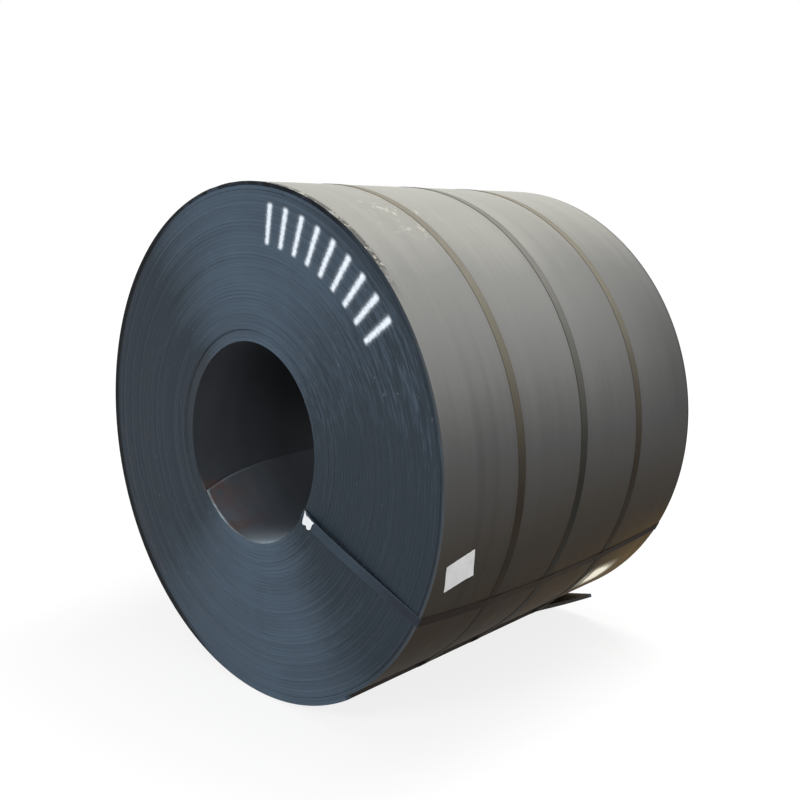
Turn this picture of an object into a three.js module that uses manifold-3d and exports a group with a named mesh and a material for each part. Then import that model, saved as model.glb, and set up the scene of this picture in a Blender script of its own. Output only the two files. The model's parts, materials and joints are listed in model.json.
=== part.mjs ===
// Hot-rolled steel coil lying on its side, held by three steel straps round it and one through its eye.
// Millimetres, +Z up. The coil's axis runs along Y, and the origin is on the floor below its middle.
// Every piece is first placed from the middle of the coil's axis, and the whole is set down at the end.
// Angles are in degrees in the XZ plane: 0 points along +X, 90 points up and -90 points at the floor.
import * as THREE from 'three';
import { mergeVertices } from 'three/addons/utils/BufferGeometryUtils.js';
import Module from 'manifold-3d';

// The strip and the coil wound from it
const STRIP_WIDTH = 1250;
const STRIP_THICKNESS = 12;
const OUTER_DIAMETER = 1600;
const BORE_DIAMETER = 610;
const FACETS = 48;
const TURNS_PER_STEP = 2;
const TELESCOPE = 3.2;
const LOOSE_TURN_DEPTH = 7;
const LOOSE_TURN_WIDTH = 4;
const INNER_RING_WIDTH = 50;
const OUTER_RING_WIDTH = 12;
const FUSE_DEPTH = 0.5;

// The bore's edge, shifted and drawn oval by the slack in the turns: how far, and towards which angle
const BORE_SHIFT = 10.5;
const BORE_SHIFT_ANGLE = 119;
const BORE_OVAL = 9.5;
const BORE_OVAL_ANGLE = 71;

// The strip's outer end, whose back corner has sprung off the coil beyond the last strap
const TAIL_ANGLE = -58.3;
const TAIL_HOLD = 90;
const TAIL_LIFT_ANGLE = -76.5;
const TAIL_LIFT_PAST_STRAP = 3;
const TAIL_LIFT_POWER = 0.8;
const TAIL_LIFT_STEPS = 6;

// The strip's inner end, a rounded tongue that lies on the second turn
const HEAD_ANGLE = -155;
const HEAD_CORNER = 12;
const HEAD_POWER = 4;
const HEAD_HOLD = 200;
const HEAD_STEPS = 14;

// Steel strapping and its crimped seals
const STRAP_WIDTH = 32;
const STRAP_THICKNESS = 1;
const FRONT_STRAP_FROM_FRONT = 318;
const MIDDLE_STRAP_FROM_FRONT = 616;
const BACK_STRAP_FROM_BACK = 324;
const FRONT_STRAP_SKEW = -0.008;
const MIDDLE_STRAP_SKEW = 0.055;
const BACK_STRAP_SKEW = 0.023;
const SEAL_ANGLE = 150;
const STRAP_LAP = 70;
const STRAP_RISE = 4;
const SEAL_LENGTH = 46;
const SEAL_WALL = 1;
const CLEARANCE = 0.3;

// The strap through the eye: its plane, its sag on the outside and its corners
const EYE_STRAP_TILT = -23.8;
const EYE_STRAP_OFFSET = -47;
const EYE_STRAP_SAG = 47;
const EYE_STRAP_BACK_DROP = 23;
const EYE_STRAP_RUN_STEPS = 16;
const EYE_STRAP_BULGE = 15.5;
const EYE_STRAP_BULGE_PEAK = 0.5;
const EYE_STRAP_FACE_STEPS = 8;
const EYE_SEAL_PLACE = 560;

// Paper on the coil
const LABEL_WIDTH = 110;
const LABEL_HEIGHT = 90;
const LABEL_THICKNESS = 0.3;
const LABEL_ANGLE = -17;
const LABEL_FROM_FRONT = 101;
const LABEL_TURN = 13.5;
const LABEL_STEPS = 12;
const TAG_THICKNESS = 0.6;
const TAG_FROM_BORE = 39;
const TAG_DROP = 7;
const TAG_LIFT = 1.2;
const TAG_OUTLINE = [
  [-31, 23], [-18, 14], [27, 22], [31, 13], [21, 2], [20, -11], [5, -24], [-25, -24], [-26, -3],
];

const OUTER_RADIUS = OUTER_DIAMETER / 2;
const BORE_RADIUS = BORE_DIAMETER / 2;
const HALF_WIDTH = STRIP_WIDTH / 2;
const FULL_TURN = 360;
const FACET_ANGLE = FULL_TURN / FACETS;
const BODY_OUTER = OUTER_RADIUS - STRIP_THICKNESS;
const BODY_INNER = BORE_RADIUS + STRIP_THICKNESS;
const BACK_STRAP_AT_TAIL = HALF_WIDTH - BACK_STRAP_FROM_BACK
  + BACK_STRAP_SKEW * OUTER_RADIUS * Math.sin(THREE.MathUtils.degToRad(TAIL_ANGLE));
const TAIL_LIFT_START = BACK_STRAP_AT_TAIL + STRAP_WIDTH / 2 + TAIL_LIFT_PAST_STRAP;
const RING_STRAPS = [
  {
    place: 'front',
    y: FRONT_STRAP_FROM_FRONT - HALF_WIDTH,
    skew: FRONT_STRAP_SKEW,
    sealAngle: SEAL_ANGLE,
  },
  {
    place: 'middle',
    y: MIDDLE_STRAP_FROM_FRONT - HALF_WIDTH,
    skew: MIDDLE_STRAP_SKEW,
    sealAngle: SEAL_ANGLE + FACET_ANGLE,
  },
  {
    place: 'back',
    y: HALF_WIDTH - BACK_STRAP_FROM_BACK,
    skew: BACK_STRAP_SKEW,
    sealAngle: SEAL_ANGLE - FACET_ANGLE,
  },
];

const STEEL = new THREE.MeshStandardMaterial({ color: 0x6e6f6d, roughness: 0.5, metalness: 0.75 });
const STRAP_STEEL = new THREE.MeshStandardMaterial({ color: 0x4b453b, roughness: 0.55, metalness: 0.7 });
const PAPER = new THREE.MeshStandardMaterial({ color: 0xe2e3e8, roughness: 0.9, metalness: 0 });

const wasm = await Module();
wasm.setup();

const radians = (degrees) => THREE.MathUtils.degToRad(degrees);

/** Radius at an angle of the regular outline whose flats lie at the given distance from the axis. */
function facetRadius(angle, flat) {
  const fromBottom = angle + 90;
  const fromCentre = fromBottom - FACET_ANGLE * Math.round(fromBottom / FACET_ANGLE);
  return flat / Math.cos(radians(fromCentre));
}

/** Point at an angle, a radius and a place along the coil, measured from the coil's own centre. */
function coilPoint(angle, radius, y) {
  return new THREE.Vector3(radius * Math.cos(radians(angle)), y, radius * Math.sin(radians(angle)));
}

/** Share of the strip's thickness left this far past its end, where the wrap eases onto the next turn. */
function easeShare(angleFromEnd, hold) {
  return angleFromEnd <= hold ? 1 : (FULL_TURN - angleFromEnd) / (FULL_TURN - hold);
}

/** Radius of the coil's outer flats at an angle in the full turn that ends at the strip's outer end. */
function outerFlat(angle) {
  const beforeEnd = THREE.MathUtils.euclideanModulo(TAIL_ANGLE - angle, FULL_TURN);
  return BODY_OUTER + STRIP_THICKNESS * easeShare(beforeEnd, TAIL_HOLD);
}

/** How far the slack turns have moved the bore's edge off its circle at an angle. */
function boreSlack(angle) {
  const shift = BORE_SHIFT * Math.cos(radians(angle - BORE_SHIFT_ANGLE));
  return shift + BORE_OVAL * Math.cos(2 * radians(angle - BORE_OVAL_ANGLE));
}

/** The same turns with the bore's slack, which fades to nothing at the outside. */
function slackened(geometry) {
  const position = geometry.attributes.position;
  for (let i = 0; i < position.count; i += 1) {
    const place = new THREE.Vector2(position.getX(i), position.getZ(i));
    const share = (BODY_OUTER - place.length()) / (BODY_OUTER - BORE_RADIUS);
    const slack = boreSlack(THREE.MathUtils.radToDeg(place.angle()));
    place.setLength(place.length() + Math.max(share, 0) * slack);
    position.setX(i, place.x);
    position.setZ(i, place.y);
  }
  return geometry;
}

/** Angles of the corners between facets that lie strictly between two angles. */
function cornersBetween(from, to) {
  const firstCorner = -90 + FACET_ANGLE / 2;
  const corners = [];
  for (let i = Math.ceil((from - firstCorner) / FACET_ANGLE); firstCorner + i * FACET_ANGLE < to; i += 1) {
    const angle = firstCorner + i * FACET_ANGLE;
    if (angle > from) corners.push(angle);
  }
  return corners;
}

/** Closed box of a grid of cells whose vertices are placed by (u index, layer 0 or 1, v index). */
function mappedBox(uCells, vCells, place) {
  const geometry = new THREE.BoxGeometry(1, 1, 1, uCells, 1, vCells);
  const position = geometry.attributes.position;
  for (let i = 0; i < position.count; i += 1) {
    const u = Math.round((position.getX(i) + 0.5) * uCells);
    const layer = position.getY(i) > 0 ? 1 : 0;
    const v = Math.round((position.getZ(i) + 0.5) * vCells);
    const point = place(u, layer, v);
    position.setXYZ(i, point.x, point.y, point.z);
  }
  return geometry;
}

/** Copy of a geometry with its shared corners merged. */
function merged(geometry) {
  const bare = geometry.clone();
  bare.deleteAttribute('normal');
  bare.deleteAttribute('uv');
  return mergeVertices(bare, 1e-4);
}

function toSolid(geometry) {
  const clean = merged(geometry);
  return new wasm.Manifold(new wasm.Mesh({
    numProp: 3,
    vertProperties: new Float32Array(clean.attributes.position.array),
    triVerts: new Uint32Array(clean.index.array),
  }));
}

function fromSolid(solid) {
  const mesh = solid.getMesh();
  const geometry = new THREE.BufferGeometry();
  geometry.setAttribute('position', new THREE.BufferAttribute(mesh.vertProperties, 3));
  geometry.setIndex(new THREE.BufferAttribute(mesh.triVerts, 1));
  geometry.computeVertexNormals();
  return geometry;
}

/** Depth below the strip's edge of one group of turns, spread evenly by the golden ratio. */
function stepDepth(step) {
  const goldenRatio = (Math.sqrt(5) - 1) / 2;
  return TELESCOPE * ((step * goldenRatio) % 1) + CLEARANCE;
}

/** Half profile of one end, from the bore outwards: a flat for each group of turns, and two open gaps. */
function endProfile() {
  const stepCount = Math.round((BODY_OUTER - BODY_INNER) / (STRIP_THICKNESS * TURNS_PER_STEP));
  const stepWidth = (BODY_OUTER - BODY_INNER) / stepCount;
  const gaps = [BORE_RADIUS + INNER_RING_WIDTH, BODY_OUTER - OUTER_RING_WIDTH];
  const profile = [];
  for (let step = 0; step < stepCount; step += 1) {
    const from = BODY_INNER + step * stepWidth;
    const to = from + stepWidth;
    const depth = stepDepth(step);
    const gap = gaps.find((radius) => radius > from && radius + LOOSE_TURN_WIDTH < to);
    profile.push([from, depth]);
    if (gap !== undefined) {
      profile.push([gap, depth], [gap, LOOSE_TURN_DEPTH]);
      profile.push([gap + LOOSE_TURN_WIDTH, LOOSE_TURN_DEPTH], [gap + LOOSE_TURN_WIDTH, depth]);
    }
    profile.push([to, depth]);
  }
  return profile;
}

/** The wound body, turned about the coil's axis. */
function turnedBody() {
  const end = endProfile();
  const toCorner = 1 / Math.cos(Math.PI / FACETS);
  const front = end.map(([radius, depth]) => new THREE.Vector2(radius * toCorner, -HALF_WIDTH + depth));
  const back = end.map(([radius, depth]) => new THREE.Vector2(radius * toCorner, HALF_WIDTH - depth));
  const profile = [...front, ...back.reverse(), front[0].clone()];
  return new THREE.LatheGeometry(profile, FACETS, Math.PI / FACETS);
}

/** The outermost turn, from the strip's outer end back to where the turn below comes out from under it. */
function outerWrap() {
  const start = TAIL_ANGLE - FULL_TURN;
  const angles = [start, ...cornersBetween(start, TAIL_LIFT_ANGLE), TAIL_LIFT_ANGLE + 1];
  return mappedBox(angles.length - 1, 1, (u, layer, v) => {
    const angle = angles[u];
    const flat = layer === 0 ? BODY_OUTER - FUSE_DEPTH
      : BODY_OUTER + STRIP_THICKNESS * easeShare(TAIL_ANGLE - angle, TAIL_HOLD);
    return coilPoint(angle, facetRadius(angle, flat), v === 0 ? -HALF_WIDTH : HALF_WIDTH);
  });
}

/** The last stretch of the outermost turn, straightening off the coil towards its back corner. */
function tail() {
  const angles = [TAIL_LIFT_ANGLE, ...cornersBetween(TAIL_LIFT_ANGLE, TAIL_ANGLE), TAIL_ANGLE];
  const tangentPoint = coilPoint(TAIL_LIFT_ANGLE, 1, 0);
  const along = coilPoint(TAIL_LIFT_ANGLE + 90, 1, 0);
  return mappedBox(angles.length - 1, TAIL_LIFT_STEPS, (u, layer, v) => {
    const angle = angles[u];
    const flat = layer === 0 ? BODY_OUTER - FUSE_DEPTH : OUTER_RADIUS;
    const lifting = Math.max(v - 1, 0) / (TAIL_LIFT_STEPS - 1);
    const y = v === 0 ? -HALF_WIDTH : THREE.MathUtils.lerp(TAIL_LIFT_START, HALF_WIDTH, lifting);
    const wound = coilPoint(angle, facetRadius(angle, flat), y);
    const run = radians(angle - TAIL_LIFT_ANGLE) * OUTER_RADIUS;
    const radius = facetRadius(TAIL_LIFT_ANGLE, flat);
    const straight = tangentPoint.clone().multiplyScalar(radius).addScaledVector(along, run).setY(y);
    return wound.lerp(straight, lifting ** TAIL_LIFT_POWER);
  });
}

/** Angle of the strip's inner end at a place along the coil. */
function headAngle(y) {
  return HEAD_ANGLE + HEAD_CORNER * Math.abs(y / HALF_WIDTH) ** HEAD_POWER;
}

/** The innermost turn, from the strip's rounded inner end round to where it slips under that end. */
function innerWrap() {
  const start = HEAD_ANGLE - 1;
  const end = start + FULL_TURN;
  const angles = [start, ...cornersBetween(start, end), end];
  const band = mappedBox(angles.length - 1, 1, (u, layer, v) => {
    const angle = angles[u];
    const share = easeShare(Math.max(angle - HEAD_ANGLE, 0), HEAD_HOLD);
    const flat = layer === 1 ? BODY_INNER + FUSE_DEPTH : BODY_INNER - STRIP_THICKNESS * share;
    return coilPoint(angle, facetRadius(angle, flat), v === 0 ? -HALF_WIDTH : HALF_WIDTH);
  });
  const reach = STRIP_THICKNESS + FUSE_DEPTH;
  const beyondEnd = mappedBox(1, HEAD_STEPS, (u, layer, v) => {
    const y = THREE.MathUtils.lerp(-HALF_WIDTH - reach, HALF_WIDTH + reach, v / HEAD_STEPS);
    const angle = u === 0 ? HEAD_ANGLE - HEAD_CORNER : headAngle(y);
    return coilPoint(angle, layer === 0 ? BORE_RADIUS - reach : BODY_INNER + reach, y);
  });
  return toSolid(slackened(band)).subtract(toSolid(beyondEnd));
}

function coil() {
  const body = toSolid(slackened(turnedBody()));
  const wound = body.add(toSolid(outerWrap())).add(toSolid(tail())).add(innerWrap());
  return fromSolid(wound);
}

/** Corners of the outline that a taut band takes round the coil, anticlockwise from a given angle. */
function tautOutline(fromAngle) {
  const angles = cornersBetween(fromAngle, fromAngle + FULL_TURN);
  const endAngle = fromAngle + THREE.MathUtils.euclideanModulo(TAIL_ANGLE - fromAngle, FULL_TURN);
  angles.push(endAngle);
  angles.sort((a, b) => a - b);
  const outline = angles.map((angle) => {
    const radius = facetRadius(angle, outerFlat(angle)) + CLEARANCE / Math.cos(Math.PI / FACETS);
    return new THREE.Vector2(radius * Math.cos(radians(angle)), radius * Math.sin(radians(angle)));
  });
  let i = 0;
  while (i < outline.length) {
    const before = outline.at(i - 1);
    const incoming = outline[i].clone().sub(before);
    const outgoing = outline[(i + 1) % outline.length].clone().sub(outline[i]);
    if (incoming.cross(outgoing) > 0) {
      i += 1;
    } else {
      outline.splice(i, 1);
      i = Math.max(i - 1, 0);
    }
  }
  return outline;
}

/** The flat of the taut outline that carries a ring strap's seal, and the corners in order after it. */
function sealSeat(sealAngle) {
  const corners = tautOutline(sealAngle);
  const from = corners.at(-1);
  const along = corners[0].clone().sub(from).normalize();
  const middle = corners[0].clone().add(from).divideScalar(2);
  return { corners, middle, along, outward: new THREE.Vector2(along.y, -along.x) };
}

/** A strap round the coil, whose end laps over its start under the seal. */
function ringStrap({ y, skew, sealAngle }) {
  const { corners, middle, along, outward } = sealSeat(sealAngle);
  const onSeat = (run, lift) => middle.clone().addScaledVector(along, run).addScaledVector(outward, lift);
  const lapLift = STRAP_THICKNESS + CLEARANCE;
  const line = [
    onSeat(-STRAP_LAP / 2, 0),
    ...corners,
    onSeat(-STRAP_LAP / 2 - STRAP_RISE, lapLift),
    onSeat(STRAP_LAP / 2, lapLift),
  ];
  return mappedBox(line.length - 1, 1, (u, layer, v) => {
    const reach = line[u].length() + (layer * STRAP_THICKNESS) / Math.cos(Math.PI / FACETS);
    const point = line[u].clone().setLength(reach);
    return new THREE.Vector3(point.x, y + skew * point.y + (v - 0.5) * STRAP_WIDTH, point.y);
  });
}

/** A crimped sleeve over two lapped layers of strap: x along the strap, y across it, z off the coil. */
function sealSleeve() {
  const halfHole = STRAP_WIDTH / 2 + CLEARANCE;
  const halfSleeve = halfHole + SEAL_WALL;
  const ceiling = 2 * (STRAP_THICKNESS + CLEARANCE) + CLEARANCE;
  const section = new THREE.Shape([
    new THREE.Vector2(-halfSleeve, CLEARANCE),
    new THREE.Vector2(-halfHole, CLEARANCE),
    new THREE.Vector2(-halfHole, ceiling),
    new THREE.Vector2(halfHole, ceiling),
    new THREE.Vector2(halfHole, CLEARANCE),
    new THREE.Vector2(halfSleeve, CLEARANCE),
    new THREE.Vector2(halfSleeve, ceiling + SEAL_WALL),
    new THREE.Vector2(-halfSleeve, ceiling + SEAL_WALL),
  ]);
  const sleeve = new THREE.ExtrudeGeometry(section, { depth: SEAL_LENGTH, bevelEnabled: false, steps: 1 });
  sleeve.translate(0, 0, -SEAL_LENGTH / 2);
  sleeve.applyMatrix4(new THREE.Matrix4().makeBasis(
    new THREE.Vector3(0, 1, 0),
    new THREE.Vector3(0, 0, 1),
    new THREE.Vector3(1, 0, 0),
  ));
  return sleeve;
}

/** The seal of a strap round the coil, sheared along with its strap. */
function ringSeal({ y, skew, sealAngle }) {
  const { middle, along, outward } = sealSeat(sealAngle);
  const seal = sealSleeve();
  const placed = new THREE.Matrix4().makeBasis(
    new THREE.Vector3(-along.x, 0, -along.y),
    new THREE.Vector3(0, 1, 0),
    new THREE.Vector3(outward.x, 0, outward.y),
  );
  const surface = middle.clone().addScaledVector(outward, -CLEARANCE);
  seal.applyMatrix4(placed.setPosition(surface.x, y, surface.y));
  return seal.applyMatrix4(new THREE.Matrix4().makeShear(0, 0, 0, 0, 0, skew));
}

const eyeAlong = coilPoint(EYE_STRAP_TILT, 1, 0);
const eyeAcross = coilPoint(EYE_STRAP_TILT - 90, 1, 0);
const Y_AXIS = new THREE.Vector3(0, 1, 0);

/** Angle at which the eye strap's middle line crosses a circle about the coil's axis. */
function eyeStrapAngle(radius) {
  return EYE_STRAP_TILT + THREE.MathUtils.radToDeg(Math.asin(EYE_STRAP_OFFSET / radius));
}

/** One place along the eye strap: its underside, the way off the coil and the way across the strap. */
function eyeSection(point, off, across) {
  return { point, off: off.clone().multiplyScalar(STRAP_THICKNESS), across };
}

/** Place on an end face, this far along the strap's line, lifted off the face. */
function eyeFaceSection(side, run, lift) {
  const out = Y_AXIS.clone().multiplyScalar(side);
  const point = eyeAlong.clone().multiplyScalar(run).addScaledVector(eyeAcross, -EYE_STRAP_OFFSET);
  return eyeSection(point.addScaledVector(out, HALF_WIDTH + CLEARANCE + lift), out, eyeAcross);
}

/** Place on a cylinder about the axis: off is 1 on the outside of the coil and -1 in its bore. */
function eyeRoundSection(angle, radius, y, off, cornerSide = 0) {
  const outward = coilPoint(angle, off, 0).addScaledVector(Y_AXIS, cornerSide);
  return eyeSection(coilPoint(angle, radius, y), outward, coilPoint(angle - 90, 1, 0));
}

/** Distance from the axis of a flat strap that lies in the bore, clear of the slack at both its edges. */
function eyeStrapBoreRadius() {
  const halfStrap = THREE.MathUtils.radToDeg(STRAP_WIDTH / 2 / BORE_RADIUS);
  const edges = [-halfStrap, halfStrap].map((side) => boreSlack(eyeStrapAngle(BORE_RADIUS) + side));
  return Math.sqrt((BORE_RADIUS + Math.min(...edges)) ** 2 - (STRAP_WIDTH / 2) ** 2) - CLEARANCE;
}

const eyeBoreRadius = eyeStrapBoreRadius();
const eyeBoreRun = Math.sqrt(eyeBoreRadius ** 2 - EYE_STRAP_OFFSET ** 2);
const eyeRimRun = Math.sqrt(OUTER_RADIUS ** 2 - EYE_STRAP_OFFSET ** 2);

/** Place on the front face where the slack strap bulges, most of all near the bore; share runs 0 to 1. */
function eyeFrontSection(share) {
  const lift = EYE_STRAP_BULGE * Math.sin(Math.PI * share ** EYE_STRAP_BULGE_PEAK);
  return eyeFaceSection(-1, THREE.MathUtils.lerp(eyeBoreRun, eyeRimRun, share), lift);
}

/** The strap through the eye, from its seal on the back face through the bore and back over the outside. */
function eyeStrap() {
  const lapLift = STRAP_THICKNESS + CLEARANCE;
  const faceY = HALF_WIDTH + CLEARANCE;
  const boreAngle = eyeStrapAngle(eyeBoreRadius);
  const rimAngle = eyeStrapAngle(OUTER_RADIUS);
  const overStraps = (CLEARANCE + STRAP_THICKNESS) / Math.cos(Math.PI / FACETS) + CLEARANCE;
  const outerRadius = outerFlat(rimAngle) / Math.cos(Math.PI / FACETS) + overStraps;
  const outerRun = [];
  for (let step = 0; step <= EYE_STRAP_RUN_STEPS; step += 1) {
    const share = (2 * step) / EYE_STRAP_RUN_STEPS - 1;
    const drop = EYE_STRAP_SAG * (1 - share ** 2) + (EYE_STRAP_BACK_DROP * (1 + share)) / 2;
    const cornerSide = Math.abs(share) === 1 ? share : 0;
    const angle = rimAngle - THREE.MathUtils.radToDeg(drop / outerRadius);
    outerRun.push(eyeRoundSection(angle, outerRadius, share * faceY, 1, cornerSide));
  }
  const frontRun = [];
  for (let step = 1; step < EYE_STRAP_FACE_STEPS; step += 1) {
    frontRun.push(eyeFrontSection(step / EYE_STRAP_FACE_STEPS));
  }
  const sections = [
    eyeFaceSection(1, EYE_SEAL_PLACE + STRAP_LAP / 2, 0),
    eyeRoundSection(boreAngle, eyeBoreRadius, faceY, -1, 1),
    eyeRoundSection(boreAngle, eyeBoreRadius, -faceY, -1, -1),
    ...frontRun,
    ...outerRun,
    eyeFaceSection(1, EYE_SEAL_PLACE + STRAP_LAP / 2 + STRAP_RISE, lapLift),
    eyeFaceSection(1, EYE_SEAL_PLACE - STRAP_LAP / 2, lapLift),
  ];
  return mappedBox(sections.length - 1, 1, (u, layer, v) => {
    const { point, off, across } = sections[u];
    return point.clone().addScaledVector(off, layer).addScaledVector(across, (v - 0.5) * STRAP_WIDTH);
  });
}

/** The seal of the eye strap, on the coil's back face. */
function eyeSeal() {
  const middle = eyeFaceSection(1, EYE_SEAL_PLACE, -CLEARANCE).point;
  const placed = new THREE.Matrix4().makeBasis(eyeAcross.clone().cross(Y_AXIS), eyeAcross, Y_AXIS);
  return sealSleeve().applyMatrix4(placed.setPosition(middle));
}

/** A paper label stuck on the outside of the coil, following its facets. */
function paperLabel() {
  return mappedBox(LABEL_STEPS, LABEL_STEPS, (u, layer, v) => {
    const up = (u / LABEL_STEPS - 0.5) * LABEL_HEIGHT;
    const right = (v / LABEL_STEPS - 0.5) * LABEL_WIDTH;
    const turn = radians(LABEL_TURN);
    const arc = right * Math.sin(turn) + up * Math.cos(turn);
    const y = LABEL_FROM_FRONT - HALF_WIDTH + right * Math.cos(turn) - up * Math.sin(turn);
    const angle = LABEL_ANGLE + THREE.MathUtils.radToDeg(arc / OUTER_RADIUS);
    const radius = facetRadius(angle, outerFlat(angle)) + 2 * CLEARANCE + layer * LABEL_THICKNESS;
    return coilPoint(angle, radius, y);
  });
}

/** A torn white tag that lies on the eye strap where it leaves the bore, at the strap's own slope. */
function boreTag() {
  const outline = new THREE.Shape(TAG_OUTLINE.map(([x, y]) => new THREE.Vector2(x, y)));
  const tag = new THREE.ExtrudeGeometry(outline, { depth: TAG_THICKNESS, bevelEnabled: false, steps: 1 });
  const start = eyeFrontSection(0).point;
  const along = eyeFrontSection(1 / EYE_STRAP_FACE_STEPS).point.sub(start).normalize();
  const up = eyeAcross.clone().negate();
  const outward = along.clone().cross(up);
  const middle = start.addScaledVector(along, TAG_FROM_BORE).addScaledVector(up, -TAG_DROP);
  middle.addScaledVector(outward, STRAP_THICKNESS + TAG_LIFT);
  return tag.applyMatrix4(new THREE.Matrix4().makeBasis(along, up, outward).setPosition(middle));
}

const coilGroup = new THREE.Group();

function addPiece(name, geometry, material) {
  const mesh = new THREE.Mesh(geometry, material);
  mesh.name = name;
  coilGroup.add(mesh);
}

addPiece('coil', coil(), STEEL);
for (const strap of RING_STRAPS) {
  addPiece(`strap_${strap.place}`, ringStrap(strap), STRAP_STEEL);
  addPiece(`seal_${strap.place}`, ringSeal(strap), STRAP_STEEL);
}
addPiece('eye_strap', eyeStrap(), STRAP_STEEL);
addPiece('seal_eye', eyeSeal(), STRAP_STEEL);
addPiece('paper_label', paperLabel(), PAPER);
addPiece('bore_tag', boreTag(), PAPER);

const extent = new THREE.Box3().setFromObject(coilGroup, true);
const middle = extent.getCenter(new THREE.Vector3());
coilGroup.position.set(-middle.x, -middle.y, -extent.min.z);

export default coilGroup;
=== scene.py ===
"""Looks of a hot-rolled steel coil: wound strip, steel strapping, paper, floor, lights and camera.

Lengths are in metres. Angles are in degrees in the XZ plane about the coil's axis: 0 points along
+X, 90 points up and -90 points at the floor. The strip is wound anticlockwise seen from the front
end, which faces -Y, so that both its angle and its radius grow from its inner to its outer end.
"""

import json
import logging
import math
from dataclasses import dataclass
from enum import IntEnum
from functools import cached_property
from typing import Any, Iterable, Mapping, Sequence

import bpy
import numpy as np
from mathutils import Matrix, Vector


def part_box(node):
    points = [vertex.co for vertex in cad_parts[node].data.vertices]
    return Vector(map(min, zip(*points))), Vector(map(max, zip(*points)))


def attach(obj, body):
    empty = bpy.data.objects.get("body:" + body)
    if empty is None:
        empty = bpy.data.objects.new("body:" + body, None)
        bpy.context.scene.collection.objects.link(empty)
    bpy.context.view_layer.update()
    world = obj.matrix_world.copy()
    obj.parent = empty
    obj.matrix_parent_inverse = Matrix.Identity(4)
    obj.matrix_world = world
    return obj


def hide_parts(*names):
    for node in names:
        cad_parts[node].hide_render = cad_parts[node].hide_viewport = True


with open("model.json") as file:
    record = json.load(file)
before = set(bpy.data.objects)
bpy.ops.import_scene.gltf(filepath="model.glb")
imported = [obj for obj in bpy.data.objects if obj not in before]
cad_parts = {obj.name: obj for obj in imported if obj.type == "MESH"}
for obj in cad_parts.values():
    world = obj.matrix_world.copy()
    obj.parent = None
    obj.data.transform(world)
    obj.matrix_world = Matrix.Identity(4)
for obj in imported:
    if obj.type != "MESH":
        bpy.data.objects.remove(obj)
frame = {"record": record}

log = logging.getLogger("coil")

MILLIMETRE = 0.001
QUARTER_TURN = 90.0
FULL_TURN = 360.0
ALONG_COIL = np.array([0.0, 1.0, 0.0])
NOTHING: Mapping[Any, Any] = {}

Array = np.ndarray
Values = np.ndarray | float
Place = tuple[float, float, float]
Colour = tuple[float, float, float]
Material = bpy.types.Material
Piece = bpy.types.Object


class End(IntEnum):
    """The two flat ends of the coil, as signs along Y."""

    FRONT = -1
    BACK = 1


class Slot(IntEnum):
    """Faces of the coil's mesh by the finish that they take."""

    OUTSIDE = 0
    BORE = 1
    EDGE = 2


# Small sums ----------------------------------------------------------------------------------


def smoothstep(values: Values, low: float, high: float) -> Array:
    """Smooth rise from 0 at low to 1 at high."""
    share = np.clip((np.asarray(values, float) - low) / (high - low), 0.0, 1.0)
    return share * share * (3.0 - 2.0 * share)


def wander(places: Values, pace: float, seed: int) -> Array:
    """Smooth random line that passes through one random height at each pace.

    Args:
        places: Where the line is read.
        pace: Distance between the random heights.
        seed: Seed of the heights.

    Returns:
        Heights from 0 to 1 at the places.
    """
    steps = np.asarray(places, float) / pace
    base = np.floor(steps).astype(int)
    heights = np.random.default_rng(seed).random(int(base.max() - base.min()) + 3)
    first = base - base.min()
    share = smoothstep(steps - base, 0.0, 1.0)
    return heights[first] * (1.0 - share) + heights[first + 1] * share


def srgb(red: int, green: int, blue: int) -> Colour:
    """Linear colour of an 8-bit screen colour."""
    parts = [level / 255.0 for level in (red, green, blue)]
    return tuple(p / 12.92 if p <= 0.04045 else ((p + 0.055) / 1.055) ** 2.4 for p in parts)


def way(angle: Values) -> Array:
    """Unit way off the axis at an angle, square to the coil."""
    turned = np.radians(angle)
    return np.stack([np.cos(turned), np.zeros_like(turned), np.sin(turned)], axis=-1)


# Shader maths --------------------------------------------------------------------------------


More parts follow.
